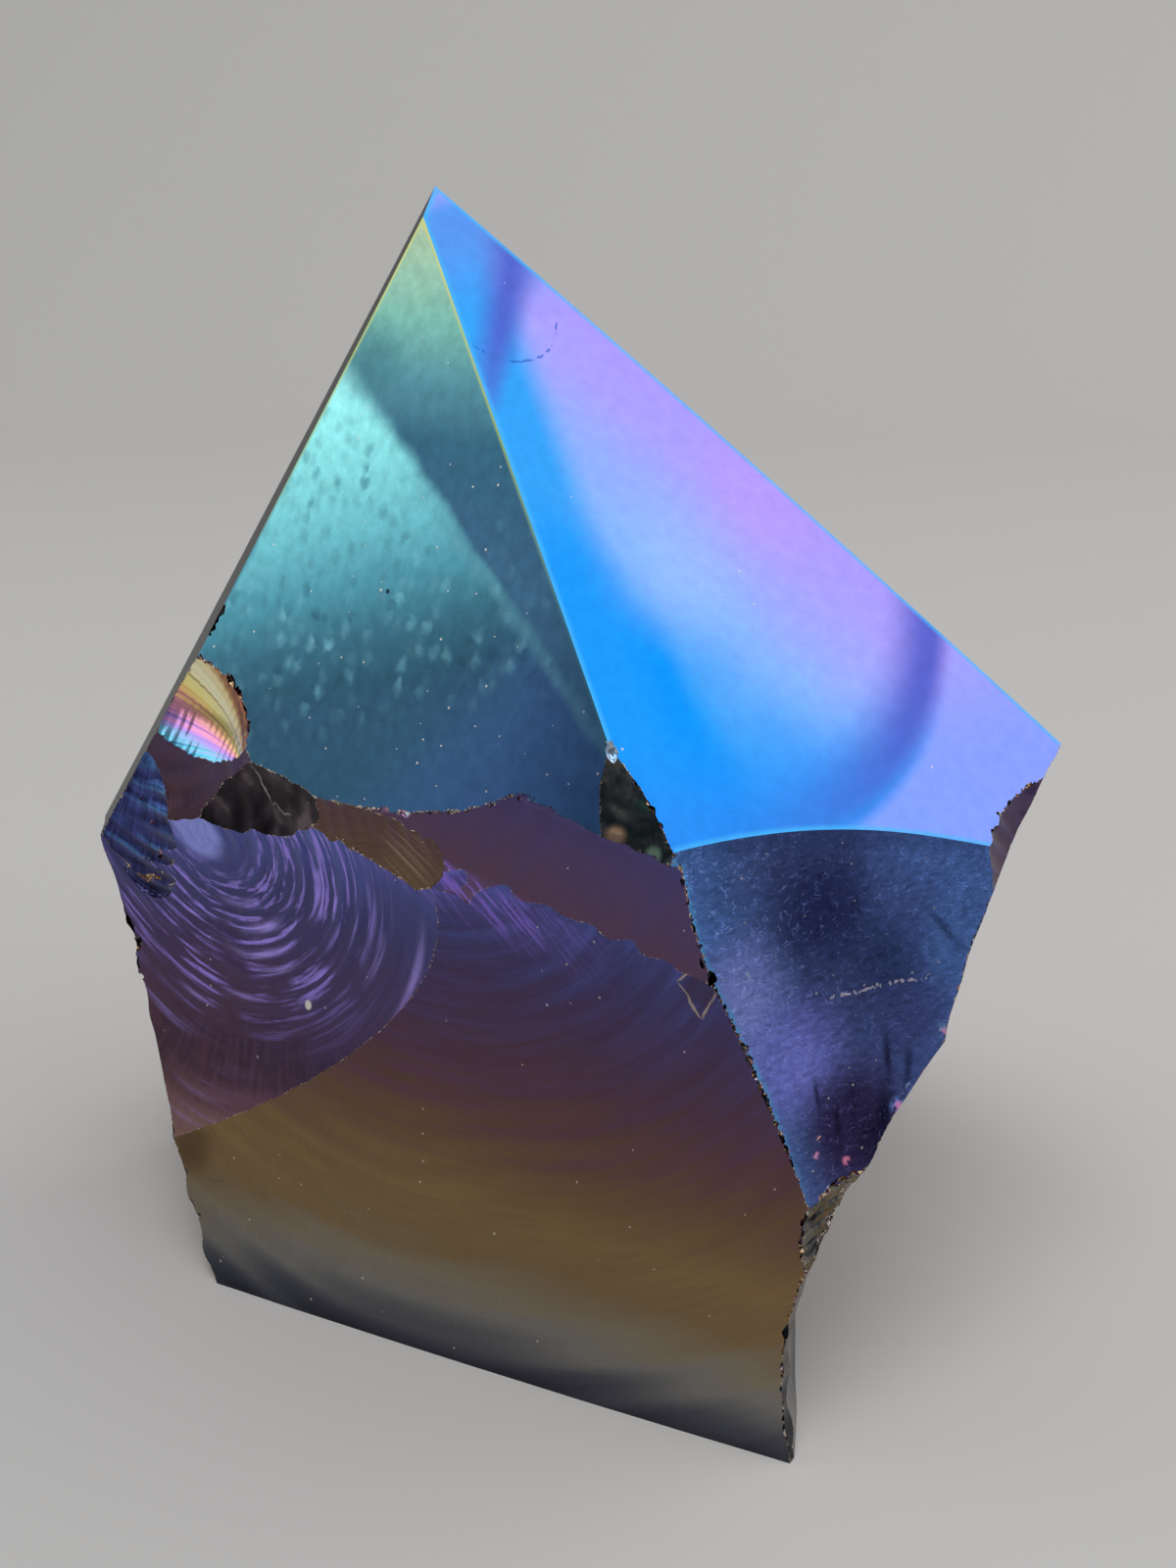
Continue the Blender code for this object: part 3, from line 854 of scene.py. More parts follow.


# %% [markdown]
# ## Blue facet
#
# The facet by the camera's right has the thickest clean film of the front: azure by the ridge,
# thinning through sky blue to lavender at its outer edge. Film colours on a metal oxide behave like
# coloured metal, so Metallic is 1 and the colour is in Base Color. The patches are drawn from a few
# distances: how far in from the outer edge, how far from a streak below the tip, which is a painted
# reflection, and how far from the middle of a wide arc near the foot of the facet. The dark band on
# that arc is a painted reflection, and the pale line at its outer edge, where the lap rounded the
# edge over, is a painted highlight.

# %% Blue facet
tree = finish_called("titanium_film_polished_blue", "front_right")
across, up, place = place_on(tree, "front_right")
drift = add(tree, "TexNoise", Vector=place, Scale=0.09, Detail=3.0)
inward = total(tree, 0.0, (across, -0.857), (up, -0.514), (drift, 7.0))
colour = add(tree, "ValToRGB", add(tree, "MapRange", inward, 3.5, 29.0), stops=[
    (0.0, "#aa9af8"), (0.14, "#a89ffa"), (0.30, "#9ba8fb"), (0.50, "#84b2fc"), (0.72, "#58a6f8"),
    (0.88, "#36a0f4"), (1.0, "#3fa3ee"),
])
rise = add(tree, "Math", total(tree, 40.0, (up, 1.0)), 0.0, operation="MAXIMUM")
near_ridge = total(tree, across, (rise, 0.42), (drift, 5.0))
colour = tinted(tree, colour, "#0f94f8", (near_ridge, 8.0, 4.2))
from_ridge = total(tree, across, (up, -0.071))
colour = tinted(tree, colour, "#35a0f4", (from_ridge, 4.5, 1.0), (up, -34.0, -26.0, 0.25, 1.0))
colour = tinted(tree, colour, "#5c9cf2", (up, -13.0, -4.0, 0.0, 0.9))
colour = tinted(tree, colour, "#2a90f6", (up, -46.0, -55.0, 0.0, 0.75))
colour = spotted(tree, place, colour, [
    ((16.5, -30.5), 1.0, 9.0, 0.45, "#bf98f4"), ((6.5, -35.0), 0.0, 9.0, 0.5, "#9cc0ff"),
])

# A dark streak below the tip: a painted reflection.
from_reflected_streak = apart(tree, total(tree, 0.0, (across, 0.845), (up, -0.533)), 7.3)
reflected_streak_width = add(tree, "MapRange", up, -22.0, -6.0, 1.2, 3.6)
reflected_streak = (from_reflected_streak, 0.0, reflected_streak_width, 1.0, 0.0)
colour = tinted(tree, colour, "#5062ca", reflected_streak, (up, -26.0, -12.0, 0.1, 0.95))

# A wide dark arc near the foot is a painted reflection, with a painted highlight at its outer edge.
reflection_arc_middle = (5.0, -30.0, 0.0)
from_reflection_arc = add(tree, "VectorMath", place, reflection_arc_middle, output="Value", operation="DISTANCE")
on_reflection_arc = overlap(tree, (from_reflection_arc, 21.5, 26.5), (from_reflection_arc, 26.8, 29.4, 1.0, 0.0))
colour = tinted(tree, colour, "#4656c2", on_reflection_arc, (across, -4.0, 26.0, 0.10, 0.88))
colour = tinted(tree, colour, "#98a2fc", (from_reflection_arc, 28.0, 29.4, 0.0, 0.65))

scratch_middle, scratch_radius = (1.0, -11.5, 0.0), 4.7
from_middle = add(tree, "VectorMath", place, scratch_middle, output="Value", operation="DISTANCE")
broken = add(tree, "TexNoise", Vector=place, Scale=1.4)
scratch = ragged(tree, apart(tree, from_middle, scratch_radius), broken, 0.46, 0.66, 0.16)
below = add(tree, "Math", up, -13.0, operation="LESS_THAN")
colour = tinted(tree, colour, "#2f5fc0", scratch, below, 0.7)

# A painted highlight along the edges between polished facets.
lip = add(tree, "Attribute", output="Fac", attribute_name="lip")
colour = tinted(tree, colour, "#4ab4f6", (lip, 0.05, 0.55, 0.75, 0.0))
cloth = add(tree, "TexNoise", Vector=place, Scale=0.8, Detail=3.0, Roughness=0.6)
colour = mottled(tree, colour, cloth, 0.3, 0.7, 0.93, 1.05)
surface(tree, weathered(tree, place, colour, reach=0.15, dust=0.05), 0.14)

# %% [markdown]
# ## Teal facet
#
# The other front facet has a film one turn thicker, so it is teal with a yellow-green tip. Its
# polish stopped early: the surface still has orange peel, dimples a little over a millimetre apart.
# A line runs down it from the outer edge to the foot of the ridge, bright above and dark beyond.
# That line, and the fading from bright to dark across the facet, are a painted reflection of a
# light.

# %% Teal facet
tree = finish_called("titanium_film_polished_teal", "front_left")
across, up, place = place_on(tree, "front_left")
wobble = add(tree, "TexNoise", Vector=place, Scale=0.35)
side = total(tree, 12.1, (across, 0.598), (up, 0.801), (wobble, 1.2))
along = total(tree, 0.0, (across, 0.801), (up, -0.598))
# The fade along dim and the line at side are a painted reflection of the edge of a light.
dim = total(tree, 0.0, (along, 0.028), (side, -0.020))
lit_side = add(tree, "ValToRGB", dim, stops=[
    (0.02, "#b4fffc"), (0.20, "#9cf4f4"), (0.40, "#82d6da"), (0.54, "#6cbcc8"), (0.68, "#5096a8"),
    (0.82, "#3c6e82"), (0.94, "#325a6e"), (1.0, "#335870"),
])
lit_side = tinted(tree, lit_side, "#44689c", (along, 27.0, 42.0))
depth = total(tree, 0.0, (up, -1.0 / 40.0))
far_side = add(tree, "ValToRGB", depth, stops=[
    (0.02, "#b6cfac"), (0.10, "#9ecab0"), (0.20, "#7cbcae"), (0.30, "#5a94a0"), (0.42, "#38667e"),
    (0.58, "#3c6482"), (0.80, "#426a8c"), (0.95, "#4c78a4"),
])
soft = add(tree, "MapRange", along, 0.0, 30.0, 2.6, 0.5)
beyond = overlap(tree, (side, total(tree, 0.0, (soft, -0.5)), total(tree, 0.0, (soft, 0.5))))
colour = tinted(tree, lit_side, far_side, beyond)
bright_line = (apart(tree, side, -0.5), 0.0, 1.0, 0.5, 0.0)
colour = tinted(tree, colour, "#5c94a6", bright_line, (along, 12.0, 22.0))
colour = spotted(tree, place, colour, [((-2.5, -11.5), 1.0, 4.5, 0.55, "#3f7480")])

stretched = add(tree, "VectorMath", place, (1.0, 0.8, 1.0), operation="MULTIPLY")
wavy = add(tree, "TexNoise", Vector=place, Scale=1.3, output="Color")
wavy = add(tree, "VectorMath", wavy, (0.9, 0.9, 0.0), stretched, operation="MULTIPLY_ADD")
from_dimple = add(tree, "TexVoronoi", wavy, Scale=0.76, Randomness=0.9, voronoi_dimensions="2D")
luck = add(tree, "SeparateColor", from_dimple.node.outputs["Color"]).node.outputs
bright_half = overlap(tree, (dim, 0.40, 0.72))
dark_half = add(tree, "Math", 1.0, bright_half, operation="SUBTRACT")
where = add(tree, "TexNoise", Vector=place, Scale=0.16)
faded = add(tree, "MapRange", beyond, 0.0, 1.0, 1.0, 0.3)
peeled = overlap(
    tree, (where, 0.36, 0.58, 0.3, 1.0), faded, (dim, 0.90, 1.14, 1.0, 0.0),
    (from_dimple, 0.0, 0.58, 1.0, 0.0),
)
# The dimples are a real bump; their bright and dark dots are painted highlights and painted shade.
for half, chance, least, strength, tint in (
    (dark_half, luck["Red"], 0.10, 0.75, "#3f8090"),
    (bright_half, luck["Green"], 0.40, 0.60, "#7cbccc"),
    (bright_half, luck["Red"], 0.50, 0.60, "#244254"),
):
    mark = add(tree, "MapRange", chance, least, 1.0, 0.0, strength)
    colour = tinted(tree, colour, tint, mark, half, peeled)
cloth = add(tree, "TexNoise", Vector=stretched, Scale=0.9, Detail=4.0, Roughness=0.65)
colour = mottled(tree, colour, cloth, 0.3, 0.7, 0.86, 1.12)
pit = (3.8, -28.6, 0.0)
from_pit = add(tree, "VectorMath", place, pit, output="Value", operation="DISTANCE")
colour = tinted(tree, colour, "#12242c", add(tree, "MapRange", from_pit, 0.14, 0.24, 0.9, 0.0))

lip = add(tree, "Attribute", output="Fac", attribute_name="lip")
# A yellow-green to teal painted highlight along the polished edges.
rim_chart = [(0.1, "#d6d878"), (0.4, "#a4c06c"), (0.7, "#4a8496")]
rim_colour = add(tree, "ValToRGB", depth, stops=rim_chart)
colour = tinted(tree, colour, rim_colour, (lip, 0.06, 0.34, 0.7, 0.0))
colour = weathered(tree, place, colour, reach=0.3, dust=0.32)
surface(tree, colour, 0.17, bump=(peeled, 0.25, 0.00002), invert=True)

# %% [markdown]
# ## Lapped facet
#
# The small facet under the blue one was ground but never polished. Its lap left curly hairline
# scratches, so it is navy and satin, with a violet bloom by its front edge. The bottom of it has
# upright flutes where the break below it bit upwards.

# %% Lapped facet
tree = finish_called("titanium_film_lapped_navy", "lapped")
across, up, place = place_on(tree, "lapped")
cloud = add(tree, "TexNoise", Vector=place, Scale=0.16, Detail=3.0)
span = total(tree, add(tree, "MapRange", across, -1.0, 27.0), (cloud, 0.30))
colour = add(tree, "ValToRGB", span, stops=[
    (0.14, "#70a4f4"), (0.24, "#6690e0"), (0.36, "#5a76b8"), (0.52, "#505e98"), (0.70, "#525f9a"),
    (0.88, "#5c76bc"), (1.0, "#6488d4"),
])
colour = spotted(tree, place, colour, [
    ((3.6, -11.0), 0.5, 6.5, 0.90, "#9ca8ff"), ((7.6, -16.4), 0.5, 6.4, 0.88, "#9096ff"),
    ((12.0, -22.5), 2.0, 6.5, 0.88, "#362650"), ((18.5, -16.0), 1.0, 6.0, 0.55, "#4c4a86"),
    ((12.0, -6.0), 1.0, 6.5, 0.80, "#2c3566"), ((17.0, -11.0), 0.5, 5.0, 0.65, "#303a68"),
    ((14.0, -24.0), 0.5, 3.6, 0.70, "#241f3e"),
])
flutes = [
    ((9.0, -17.4), (9.2, -21.4), 0.40, 0.80), ((12.6, -18.0), (11.7, -23.8), 0.35, 0.65),
    ((16.0, -15.4), (15.7, -20.6), 0.60, 0.85), ((15.7, -19.2), (13.9, -25.2), 1.10, 0.90),
    ((10.7, -19.4), (10.4, -24.6), 0.50, 0.75), ((18.2, -17.0), (16.9, -21.6), 0.60, 0.70),
    ((20.4, -7.0), (24.6, -12.6), 0.55, 0.55),
]
colour = scored(tree, place, colour, [(*flute, "#1a1a38") for flute in flutes], soften=0.45)

brushed = add(tree, "VectorMath", place, (0.45, 1.0, 1.0), operation="MULTIPLY")
brushed = add(
    tree, "TexNoise", Vector=brushed, Scale=2.6, Detail=3.0, Roughness=0.65, Distortion=0.8
)
colour = mottled(tree, colour, brushed, 0.3, 0.7, 0.66, 1.34)
curl = add(tree, "TexNoise", Vector=place, Scale=0.62, Detail=1.5, Distortion=2.6)
hair = add(tree, "MapRange", apart(tree, curl, 0.5), 0.0, 0.024, 1.0, 0.0)
pieces = add(tree, "TexNoise", Vector=place, Scale=1.5, Detail=1.0)
hair = overlap(tree, hair, add(tree, "MapRange", pieces, 0.48, 0.58))
worn = add(tree, "MapRange", across, 18.0, 4.0, 0.06, 0.45)
colour = tinted(tree, colour, "#a8b0fc", hair, worn)

crack_level = total(tree, -12.9, (across, -0.06), (cloud, 2.0))
grit = add(tree, "TexNoise", Vector=place, Scale=2.5)
crack = ragged(tree, apart(tree, up, crack_level), grit, 0.48, 0.66, 0.22)
within = add(tree, "Math", across, 16.0, 5.0, operation="COMPARE")
colour = tinted(tree, colour, "#cfc6dc", crack, within)

lip = add(tree, "Attribute", output="Fac", attribute_name="lip")
colour = tinted(tree, colour, "#33487e", (lip, 0.3, 2.2, 0.4, 0.0))
# A cyan painted highlight along the broken front edge.
crush = add(tree, "Attribute", output="Fac", attribute_name="crush")
rim_width = add(tree, "MapRange", grit, 0.35, 0.6, 0.3, 0.9)
colour = tinted(tree, colour, "#6cbcff", (crush, 0.1, rim_width, 0.85, 0.0), (across, 8.0, 4.0))
colour = weathered(tree, place, colour, bruise="#c79aa8", reach=0.3, dust=0.35)
# Small bright spots along the rim are painted glints.
colour = spotted(tree, place, colour, [
    ((21.1, -17.3), 0.1, 0.8, 1.0, "#8fc4ff"), ((21.2, -17.5), 0.1, 0.5, 1.0, "#ffb0dc"),
    ((16.1, -21.9), 0.1, 0.9, 1.0, "#7ea8ff"), ((16.2, -22.0), 0.1, 0.6, 1.0, "#ffa4e8"),
    ((17.4, -20.8), 0.1, 0.4, 1.0, "#9cc0ff"), ((10.9, -24.7), 0.1, 0.5, 1.0, "#ff9cc4"),
    ((8.3, -23.6), 0.1, 0.4, 1.0, "#f4a8dc"), ((8.8, -22.5), 0.1, 0.3, 1.0, "#ffc0c0"),
    ((4.4, -9.4), 0.1, 0.5, 1.0, "#c8e4ff"),
], through=add(tree, "MapRange", grit, 0.40, 0.52))
satin = add(tree, "MapRange", hair, 0.0, 1.0, 0.24, 0.4)
surface(tree, colour, satin, bump=(hair, 0.3, 0.00002))

# %% [markdown]
# ## The breaks
#
# Below the facets the film grows thinner towards the foot, because the stone stood on it and the
# vapour came from above. So one chart of film colours, from bare black glass through grey, gold,
# brown, maroon, violet and blue, serves every break: the height above the foot picks the colour,
# and each break adds its own offset for the way it faced. The near-black just above the foot is
# also a painted reflection of the stone's shadow on the floor. Over that come the marks of the
# break: grain in rings round the strike point, hackles that run out from it, and a lighter colour
# on the crests of the ripples, which is a painted highlight.

# %% Film chart and the finish of a break
# The darkest greys at the start also stand for a painted reflection of the stone's shadow.
FILM_CHART = [
    (0.00, "#2a2a31"), (0.075, "#3b3c46"), (0.108, "#585a62"), (0.145, "#84827e"),
    (0.18, "#8c8270"), (0.225, "#867153"), (0.30, "#8b7250"), (0.36, "#7a614b"),
    (0.42, "#6e534f"), (0.48, "#644858"), (0.55, "#5b4663"), (0.63, "#524873"),
    (0.70, "#4e4e84"), (0.80, "#5a66b4"), (0.90, "#66a0ea"), (1.00, "#8fd0e6"),
]


def break_finish(
    name, zone, offset, slope=0.0160, lean=0.0, painted_light_gain=1.0, grain=0.03, hackles=0.15, crest_tint=0.03,
    rough=0.2, reach=0.22, drifting=0.16,
):
    """Film = offset + slope * height + lean * across + drift + grain + crest. The chart colours it.

    Returns the tree, the colour, the place, and the distance and direction from the strike point.
    """
    tree = finish_called(name, zone)
    across, up, place = place_on(tree, zone)
    strike_across, strike_up = SHEETS[zone]["ripple"][2]
    height = add(tree, "SeparateXYZ", add(tree, "TexCoord", output="Object"), output="Z")
    drift = total(tree, -0.5, (add(tree, "TexNoise", Vector=place, Scale=0.06, Detail=3.0), 1.0))
    clear = add(tree, "MapRange", height, 0.004, 0.018, 0.08, 1.0)
    drift = overlap(tree, drift, clear)
    film = total(tree, offset, (height, slope / MM), (across, lean), (drift, drifting))

    strike = (strike_across, strike_up, 0.0)
    radius = add(tree, "VectorMath", place, strike, output="Value", operation="DISTANCE")
    run_across = total(tree, -strike_across, (across, 1.0))
    run_up = total(tree, -strike_up, (up, 1.0))
    angle = add(tree, "Math", run_up, run_across, operation="ARCTAN2")
    rings = add(tree, "CombineXYZ", radius, total(tree, 0.0, (angle, 2.2)))
    ring_grain = add(
        tree, "TexNoise", Vector=rings, Scale=0.9, Detail=5.0, Roughness=0.68, Distortion=0.4
    )
    ring_grain = overlap(tree, total(tree, -0.5, (ring_grain, 1.0)), clear)
    # The crest tint is a painted highlight on the crests of the real ripples.
    crest = add(tree, "Attribute", output="Fac", attribute_name="crest")
    film = total(tree, film, (ring_grain, 4.0 * grain), (crest, crest_tint))
    colour = add(tree, "ValToRGB", film, stops=FILM_CHART)

    fast_angle = total(tree, 0.0, (angle, 38.0))
    rays = add(tree, "CombineXYZ", fast_angle, total(tree, 0.0, (radius, 0.25)))
    ray = add(tree, "TexNoise", Vector=rays, Scale=1.0)
    # painted_light_gain is painted light and shade: it makes a whole break brighter or darker.
    light = total(tree, painted_light_gain - 0.5 * hackles, (ring_grain, 12.0 * grain), (ray, hackles))
    colour = add(tree, "VectorMath", colour, Scale=light, operation="SCALE")
    colour = weathered(tree, place, colour, reach=reach)
    satin = add(tree, "MapRange", ray, 0.3, 0.7, rough, rough + 0.12)
    texture = total(tree, ring_grain, (ray, hackles))
    surface(tree, colour, satin, bump=(texture, 0.4, 0.00004))
    return tree, colour, place, radius, angle


break_finish("titanium_film_shoulder_break", "shoulder", -0.17, painted_light_gain=0.88, crest_tint=0.02)
break_finish("titanium_film_left_break", "left_wall", 0.30, 0.0140, crest_tint=0.08, reach=0.5)
break_finish("titanium_film_notch_break", "notch", -0.13, hackles=0.6)
break_finish("titanium_film_right_break", "right_upper", 0.02, 0.0150, painted_light_gain=0.7, crest_tint=0.05)
break_finish("titanium_film_under_break", "under_rim", 0.10, 0.0150, painted_light_gain=0.7, crest_tint=0.05)
break_finish("titanium_film_corner_break", "corner_strip", 0.04, 0.0150, painted_light_gain=0.5)
break_finish("titanium_film_low_break", "low_right", 0.10, 0.0150, painted_light_gain=0.7, crest_tint=0.04)
for side, offset in (("right", 0.10), ("left", 0.14), ("middle", 0.06)):
    name = f"titanium_film_rear_{side}_break"
    break_finish(name, "rear_" + side, offset, 0.0150, crest_tint=0.06)
print("plain break finishes:", len(materials) - 3)

# %% [markdown]
# ## The big front break and the band
#
# The big break keeps its grain, like wood, and has a brow along its top where hackles shine violet.
# Two small flakes came off it later: one near the corner, outlined by its own bright edge, and one
# low on the left. The band above it is a later blow with a browner film and hardly a ripple.

# %% Front break and band
def brow_marks(tree, colour):
    """Violet hackles 0.5 mm apart that run down from the brow, whichever sheets they cross."""
    across, up = place_on(tree, "band")[:2]
    below = total(tree, 0.0, (across, 0.225), (up, 0.974))
    mask = overlap(
        tree, (below, -1.6, -2.6), (below, -8.0, -3.6), (across, -18.0, -12.0), (across, 10.0, -2.0)
    )
    aside = total(tree, 0.0, (across, 0.74), (up, 0.67))
    rays = add(tree, "CombineXYZ", aside, total(tree, 0.0, (up, 0.14)))
    hackle = add(tree, "TexNoise", Vector=rays, Scale=1.9, Detail=3.0, Roughness=0.6)
    return tinted(tree, colour, "#9a7cf0", (hackle, 0.46, 0.62, 0.12, 0.85), mask)


tree, colour, place = break_finish(
    "titanium_film_front_break", "main_face", 0.08, grain=0.066, hackles=0.05, crest_tint=0.01,
    rough=0.22, reach=0.12, drifting=0.07,
)[:3]
outlines = [
    (start, end, width, 0.7, tint)
    for corners, width, tint in (
        (((9.4, 17.2), (11.5, 18.7), (12.5, 17.3), (11.4, 14.4), (9.4, 17.2)), 0.15, "#d8c2a8"),
        (((-40.3, -8.1), (-36.4, -7.6), (-32.5, -12.4), (-37.0, -12.8)), 0.10, "#6f6250"),
    )
    for start, end in zip(corners, corners[1:])
]
colour = scored(tree, bent(tree, place, 0.5, 0.9), colour, outlines)
# The dark patch low on the left is a painted shadow in that flake's hollow; the orange dot is a
# painted glint by the corner flake.
colour = spotted(tree, place, colour, [
    ((11.2, 16.8), 0.8, 1.6, 0.5, "#4a3a44"), ((-38.0, -10.4), 0.8, 3.4, 0.5, "#3a2a22"),
    ((11.7, 18.4), 0.15, 0.55, 1.0, "#ffa878"),
])
surface(tree, brow_marks(tree, colour))

tree, colour = break_finish(
    "titanium_film_band_break", "band", -0.16, lean=0.0045, painted_light_gain=1.2, grain=0.012, hackles=0.08,
    crest_tint=0.012, rough=0.22, reach=0.14, drifting=0.05,
)[:2]
surface(tree, brow_marks(tree, colour))

tree, colour, place = break_finish(
    "titanium_film_lens_break", "lens", -0.28, painted_light_gain=0.9, hackles=0.4, crest_tint=0.02, reach=0.42,
    drifting=0.1,
)[:3]
aside = add(tree, "VectorMath", place, (0.6, 0.8, 0.0), output="Value", operation="DOT_PRODUCT")
rays = add(tree, "CombineXYZ", aside)
pale = add(tree, "TexNoise", Vector=rays, Scale=2.4, Detail=3.0, Roughness=0.65)
pale = overlap(tree, (pale, 0.46, 0.62, 0.0, 0.60))
surface(tree, spotted(tree, place, colour, [((3.0, -0.8), 0.6, 3.6, 1.0, "#b8a288")], pale))

break_finish(
    "titanium_film_strip_break", "left_strip", 0.34, 0.0115, painted_light_gain=0.52, grain=0.06, hackles=1.1,
    crest_tint=0.10, reach=0.4,
)
break_finish(
    "titanium_film_crumble_break", "crumble", -0.17, painted_light_gain=0.60, grain=0.18, hackles=0.6,
    crest_tint=0.10, reach=1.6,
)
tree, colour, place = break_finish(
    "bare_ridge_break", "ridge_chip", -0.70, grain=0.05, hackles=0.5, crest_tint=0.02, reach=0.3
)[:3]
surface(tree, spotted(tree, place, tinted(tree, colour, "#20342f", 0.45), [
    ((-1.6, -0.7), 0.30, 1.0, 1.0, "#a88c74"), ((1.2, -1.7), 0.24, 0.8, 1.0, "#8fb09c"),
    ((0.2, 1.6), 0.27, 0.9, 1.0, "#34504c"),
]))
print("finishes so far:", len(materials))

# %% [markdown]
# ## The scallop
#
# The dish at the upper left is the showpiece. It is indigo near the strike point and purple at its
# far rim, and it is crossed by violet crescents and fine strokes, painted highlights where a step
# between two ripples caught the light.
# They lie on rings round the strike point, so each is given by its distance, direction, width and
# spread. Close to the strike point is a half-moon of clear blue.

# %% Scallop
tree, colour, place, radius, angle = break_finish(
    "titanium_film_scallop_break", "scallop", 0.28, 0.0121, painted_light_gain=0.93, grain=0.02, hackles=0.25,
    crest_tint=0.012, reach=0.2,
)
fine = add(tree, "CombineXYZ", radius, angle)
strokes = add(tree, "TexNoise", Vector=fine, Scale=1.7, Detail=4.0, Roughness=0.62, Distortion=0.3)
area = add(tree, "TexNoise", Vector=place, Scale=0.13)
# Fine violet strokes along the rings are painted highlights.
colour = tinted(
    tree, colour, "#ac96ff", (strokes, 0.50, 0.63), (area, 0.36, 0.54), (radius, 4.0, 8.0),
    (radius, 14.0, 22.0, 1.0, 0.08),
)
# Each crescent is a painted highlight on its ring.
# How far each crescent is from the strike point in mm, its direction in degrees, its width in mm,
# its spread to each side in degrees, and its strength.
CRESCENTS = [
    (10.4, -66.0, 0.9, 20.0, 0.9), (12.6, -74.0, 0.7, 24.0, 0.9), (14.2, -66.0, 0.5, 16.0, 0.8),
    (19.7, -26.0, 0.5, 12.0, 0.8), (23.7, -21.0, 0.7, 16.0, 0.8), (18.5, -104.0, 0.4, 9.0, 0.8),
    (22.0, -112.0, 0.5, 14.0, 0.8), (16.6, -84.0, 0.5, 12.0, 0.6), (8.0, -80.0, 0.7, 22.0, 0.7),
]
streaked = add(tree, "MapRange", strokes, 0.38, 0.56, 0.15, 1.0)
for ring, direction, width, spread, strength in CRESCENTS:
    turned = apart(tree, angle, math.radians(direction))
    on_ring = (apart(tree, radius, ring), 0.0, width, strength, 0.0)
    facing = (turned, 0.0, math.radians(spread), 1.0, 0.0)
    colour = tinted(tree, colour, "#b8a4ff", on_ring, facing, streaked)
moon_streak = add(tree, "MapRange", strokes, 0.42, 0.56, 0.78, 1.0)
half_moon = [((-12.8, 9.9), 1.8, 3.3, 1.0, "#a0a8ff")]
colour = brow_marks(tree, spotted(tree, place, colour, half_moon, moon_streak))
surface(tree, spotted(tree, place, colour, [((-1.9, -3.5), 0.3, 0.5, 1.0, "#e8e2dc")]))
print("crescents:", len(CRESCENTS))

# %% [markdown]
# ## Small chips
#
# Chips struck off after the coating would be bare. Most of these were there before it and face all
# ways, so each has its own film. The bright chip at the left shoulder has the thickest film of all:
# cyan, pink and gold stripes that follow its ripples. The dark chip under it is nearly bare black
# glass, where the vapour hardly reached.

# %% Bright chip, dark chip and crumbs
tree = finish_called("titanium_film_bright_chip", "bright_chip")
across, up, place = place_on(tree, "bright_chip")
strike_across, strike_up = SHEETS["bright_chip"]["ripple"][2]
run_back = total(tree, strike_across, (across, -1.0))
run_up = total(tree, -strike_up, (up, 1.0))
turned = add(tree, "Math", run_up, run_back, operation="ARCTAN2")
rays = add(tree, "CombineXYZ", total(tree, 0.0, (turned, 22.0)))
stripe = add(tree, "TexNoise", Vector=rays, Scale=1.0, Detail=3.0, Roughness=0.7)
strike = (strike_across, strike_up, 0.0)
far = add(tree, "VectorMath", place, strike, output="Value", operation="DISTANCE")
fan = add(tree, "MapRange", turned, -0.12, 1.6)
colour = add(tree, "ValToRGB", total(tree, fan, (far, -0.008), (stripe, 0.34)), stops=[
    (0.06, "#3f8ff0"), (0.12, "#7ae6ff"), (0.18, "#c4a0fa"), (0.24, "#ffa8d8"), (0.31, "#ffc090"),
    (0.38, "#fff090"), (0.50, "#fffcd8"), (0.60, "#ffeca8"), (0.66, "#c08a48"), (0.74, "#8a5c30"),
    (0.86, "#e0a450"), (0.94, "#8a5430"), (1.0, "#4a2c28"),
])
colour = tinted(tree, colour, "#5a2c58", (stripe, 0.41, 0.48, 0.5, 0.0))
surface(tree, weathered(tree, place, colour, reach=0.4), 0.2)

tree = finish_called("bare_black_glass_chip", "dark_chip")
place = place_on(tree, "dark_chip")[2]
cloud = add(tree, "TexNoise", Vector=place, Scale=0.35, Detail=3.0)
colour = add(tree, "ValToRGB", cloud, stops=[
    (0.36, "#201c22"), (0.50, "#2e282e"), (0.60, "#443c42"), (0.70, "#6c6064"),
])
colour = scored(tree, bent(tree, place, 0.9, 1.6), colour, [
    ((-1.2, 3.3), (-0.1, -0.4), 0.22, 1.0, "#a89ca0"),
    ((-0.1, -0.2), (2.6, -1.0), 0.14, 1.0, "#a89ca0"),
], soften=0.3)
surface(tree, weathered(tree, place, colour, reach=0.3), 0.45)

tree = finish_called("titanium_film_crumbs", "chip")
place = place_on(tree, "lapped")[2]
flake = add(tree, "Attribute", output="Fac", attribute_name="flake")
colour = add(tree, "ValToRGB", flake, stops=[
    (0.00, "#0f181a"), (0.25, "#1f282c"), (0.42, "#2c222e"), (0.55, "#3c2a40"), (0.66, "#6a4640"),
    (0.76, "#a07e54"), (0.84, "#e6c89a"), (0.88, "#4a3c74"), (0.92, "#f0b4d0"), (0.96, "#ffe8c8"),
    (1.00, "#b8dcff"),
])
mottle = add(tree, "TexNoise", Vector=place, Scale=2.2, Detail=3.0, Roughness=0.7)
surface(tree, mottled(tree, colour, mottle, 0.35, 0.65, 0.5, 1.4), 0.2)

# %% [markdown]
# ## Back facets, side facet and foot
#
# The back was cut and coated like the front. The narrow facet at the left edge is painted almost
# black: a painted dark reflection of dark surroundings at a glancing angle. The foot is sawn and
# stood on the coating tray, so it is bare glass, grey from the saw.

